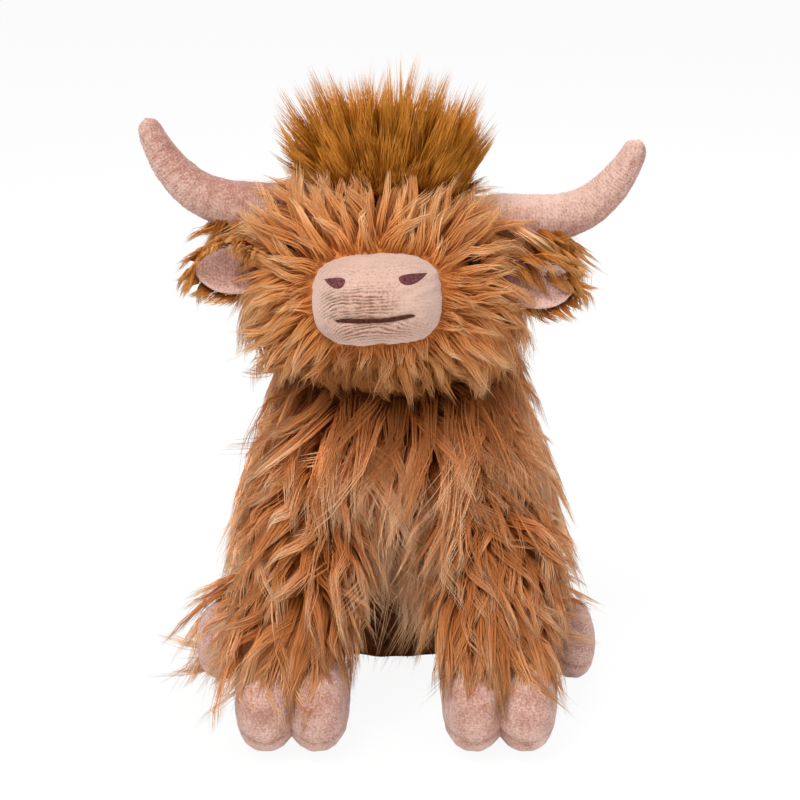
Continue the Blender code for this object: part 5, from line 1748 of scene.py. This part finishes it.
def make_stage():
    """A pale floor, a white background, a soft world with three lamps, and the camera."""
    scene = bpy.context.scene
    mesh = bpy.data.meshes.new("floor")
    corners = [(FLOOR_HALF * x, FLOOR_HALF * y, 0) for x, y in ((-1, -1), (1, -1), (1, 1), (-1, 1))]
    mesh.from_pydata(corners, [], [(0, 1, 2, 3)])
    link("floor", mesh, finish_named("floor"))

    world = bpy.data.worlds.new("studio")
    scene.world = world
    world.use_nodes = True
    tree = world.node_tree
    soft = tree.nodes["Background"]
    soft.inputs["Color"].default_value = (0.95, 0.97, 1.0, 1)
    soft.inputs["Strength"].default_value = 0.42
    white = node(tree, "Background", {"Color": (1, 1, 1, 1), "Strength": 1.0})
    path = node(tree, "LightPath", {})
    seen = maths(tree, "MAXIMUM", path.outputs["Is Camera Ray"], path.outputs["Is Glossy Ray"])
    seen = maths(tree, "MAXIMUM", seen, path.outputs["Is Transmission Ray"])
    mixed = node(tree, "MixShader", {0: seen, 1: soft.outputs[0], 2: white.outputs[0]})
    tree.links.new(mixed.outputs[0], tree.nodes["World Output"].inputs["Surface"])
    area_light("key", (-0.5, -0.85, 1.65), 0.9, 27, (1.0, 0.98, 0.95))
    area_light("fill", (0.9, -1.0, 0.8), 1.0, 4.5, (0.97, 0.98, 1.0))
    area_light("rim", (0.3, 1.0, 1.1), 0.9, 9)

    scene.camera = aimed("camera", bpy.data.cameras.new("camera"), camera_place())
    scene.camera.data.sensor_width = SENSOR
    scene.camera.data.lens = SENSOR * CAMERA_FOCAL / FRAME_PIXELS
    scene.camera.data.clip_end = 20
    scene.view_settings.view_transform = "Standard"


# The add-on


class COW_OT_torso(bpy.types.Operator):
    """Make the torso: cloth, filling, pellet bag and pile"""

    bl_idname = "cow.torso"
    bl_label = "Torso"

    def execute(self, context):
        make_torso()
        return {"FINISHED"}


class COW_OT_head(bpy.types.Operator):
    """Make the head: cloth, filling and pile"""

    bl_idname = "cow.head"
    bl_label = "Head"

    def execute(self, context):
        make_head()
        return {"FINISHED"}


class COW_OT_eyes(bpy.types.Operator):
    """Make the eyes and give the washers their finish"""

    bl_idname = "cow.eyes"
    bl_label = "Eyes"

    def execute(self, context):
        make_eyes()
        return {"FINISHED"}


class COW_OT_muzzle(bpy.types.Operator):
    """Make the muzzle with its nostrils and mouth"""

    bl_idname = "cow.muzzle"
    bl_label = "Muzzle"

    def execute(self, context):
        make_muzzle()
        return {"FINISHED"}


class COW_OT_horns(bpy.types.Operator):
    """Make the horns and the pile round their roots"""

    bl_idname = "cow.horns"
    bl_label = "Horns"

    def execute(self, context):
        for index, (name, sign) in enumerate(SIDES):
            make_horn(name, sign, index)
        return {"FINISHED"}


class COW_OT_topknot(bpy.types.Operator):
    """Make the plume on the crown"""

    bl_idname = "cow.topknot"
    bl_label = "Topknot"

    def execute(self, context):
        make_topknot()
        return {"FINISHED"}


class COW_OT_ears(bpy.types.Operator):
    """Make the ears"""

    bl_idname = "cow.ears"
    bl_label = "Ears"

    def execute(self, context):
        for index, (name, sign) in enumerate(SIDES):
            make_ear(name, sign, index)
        return {"FINISHED"}


class COW_OT_front_legs(bpy.types.Operator):
    """Make the front legs with their hooves"""

    bl_idname = "cow.front_legs"
    bl_label = "Front legs"

    def execute(self, context):
        for index, (name, sign) in enumerate(SIDES):
            make_leg("front", name, sign, FRONT_LEG, FRONT_HOOF, 20 + index)
        return {"FINISHED"}


class COW_OT_hind_legs(bpy.types.Operator):
    """Make the hind legs with their hooves"""

    bl_idname = "cow.hind_legs"
    bl_label = "Hind legs"

    def execute(self, context):
        for index, (name, sign) in enumerate(SIDES):
            make_leg("hind", name, sign, HIND_LEG, HIND_HOOF, 30 + index)
        return {"FINISHED"}


class COW_OT_tail(bpy.types.Operator):
    """Make the tail and its tuft"""

    bl_idname = "cow.tail"
    bl_label = "Tail"

    def execute(self, context):
        make_tail()
        return {"FINISHED"}


class COW_OT_stage(bpy.types.Operator):
    """Make the floor, the background, the lights and the camera"""

    bl_idname = "cow.stage"
    bl_label = "Stage"

    def execute(self, context):
        make_stage()
        return {"FINISHED"}


OPERATORS = (
    COW_OT_stage,
    COW_OT_torso,
    COW_OT_head,
    COW_OT_eyes,
    COW_OT_muzzle,
    COW_OT_horns,
    COW_OT_topknot,
    COW_OT_ears,
    COW_OT_front_legs,
    COW_OT_hind_legs,
    COW_OT_tail,
)


class COW_PT_panel(bpy.types.Panel):
    """The cow's pieces, sizes and colours"""

    bl_idname = "COW_PT_panel"
    bl_label = "Plush cow"
    bl_space_type = "VIEW_3D"
    bl_region_type = "UI"
    bl_category = "Plush cow"

    def draw(self, context):
        for operator in OPERATORS:
            self.layout.operator(operator.bl_idname)
        for group in (context.scene.cow_sizes, context.scene.cow_colours):
            column = self.layout.column()
            for name in group.__annotations__:
                column.prop(group, name)


CLASSES = (CowSizes, CowColours, *OPERATORS, COW_PT_panel)


def register():
    for cls in CLASSES:
        bpy.utils.register_class(cls)
    bpy.types.Scene.cow_sizes = PointerProperty(type=CowSizes)
    bpy.types.Scene.cow_colours = PointerProperty(type=CowColours)


def unregister():
    del bpy.types.Scene.cow_colours
    del bpy.types.Scene.cow_sizes
    for cls in reversed(CLASSES):
        bpy.utils.unregister_class(cls)


def main():
    """Registers the add-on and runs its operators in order."""
    register()
    for operator in OPERATORS:
        group, name = operator.bl_idname.split(".")
        getattr(getattr(bpy.ops, group), name)()


if __name__ == "__main__":
    main()
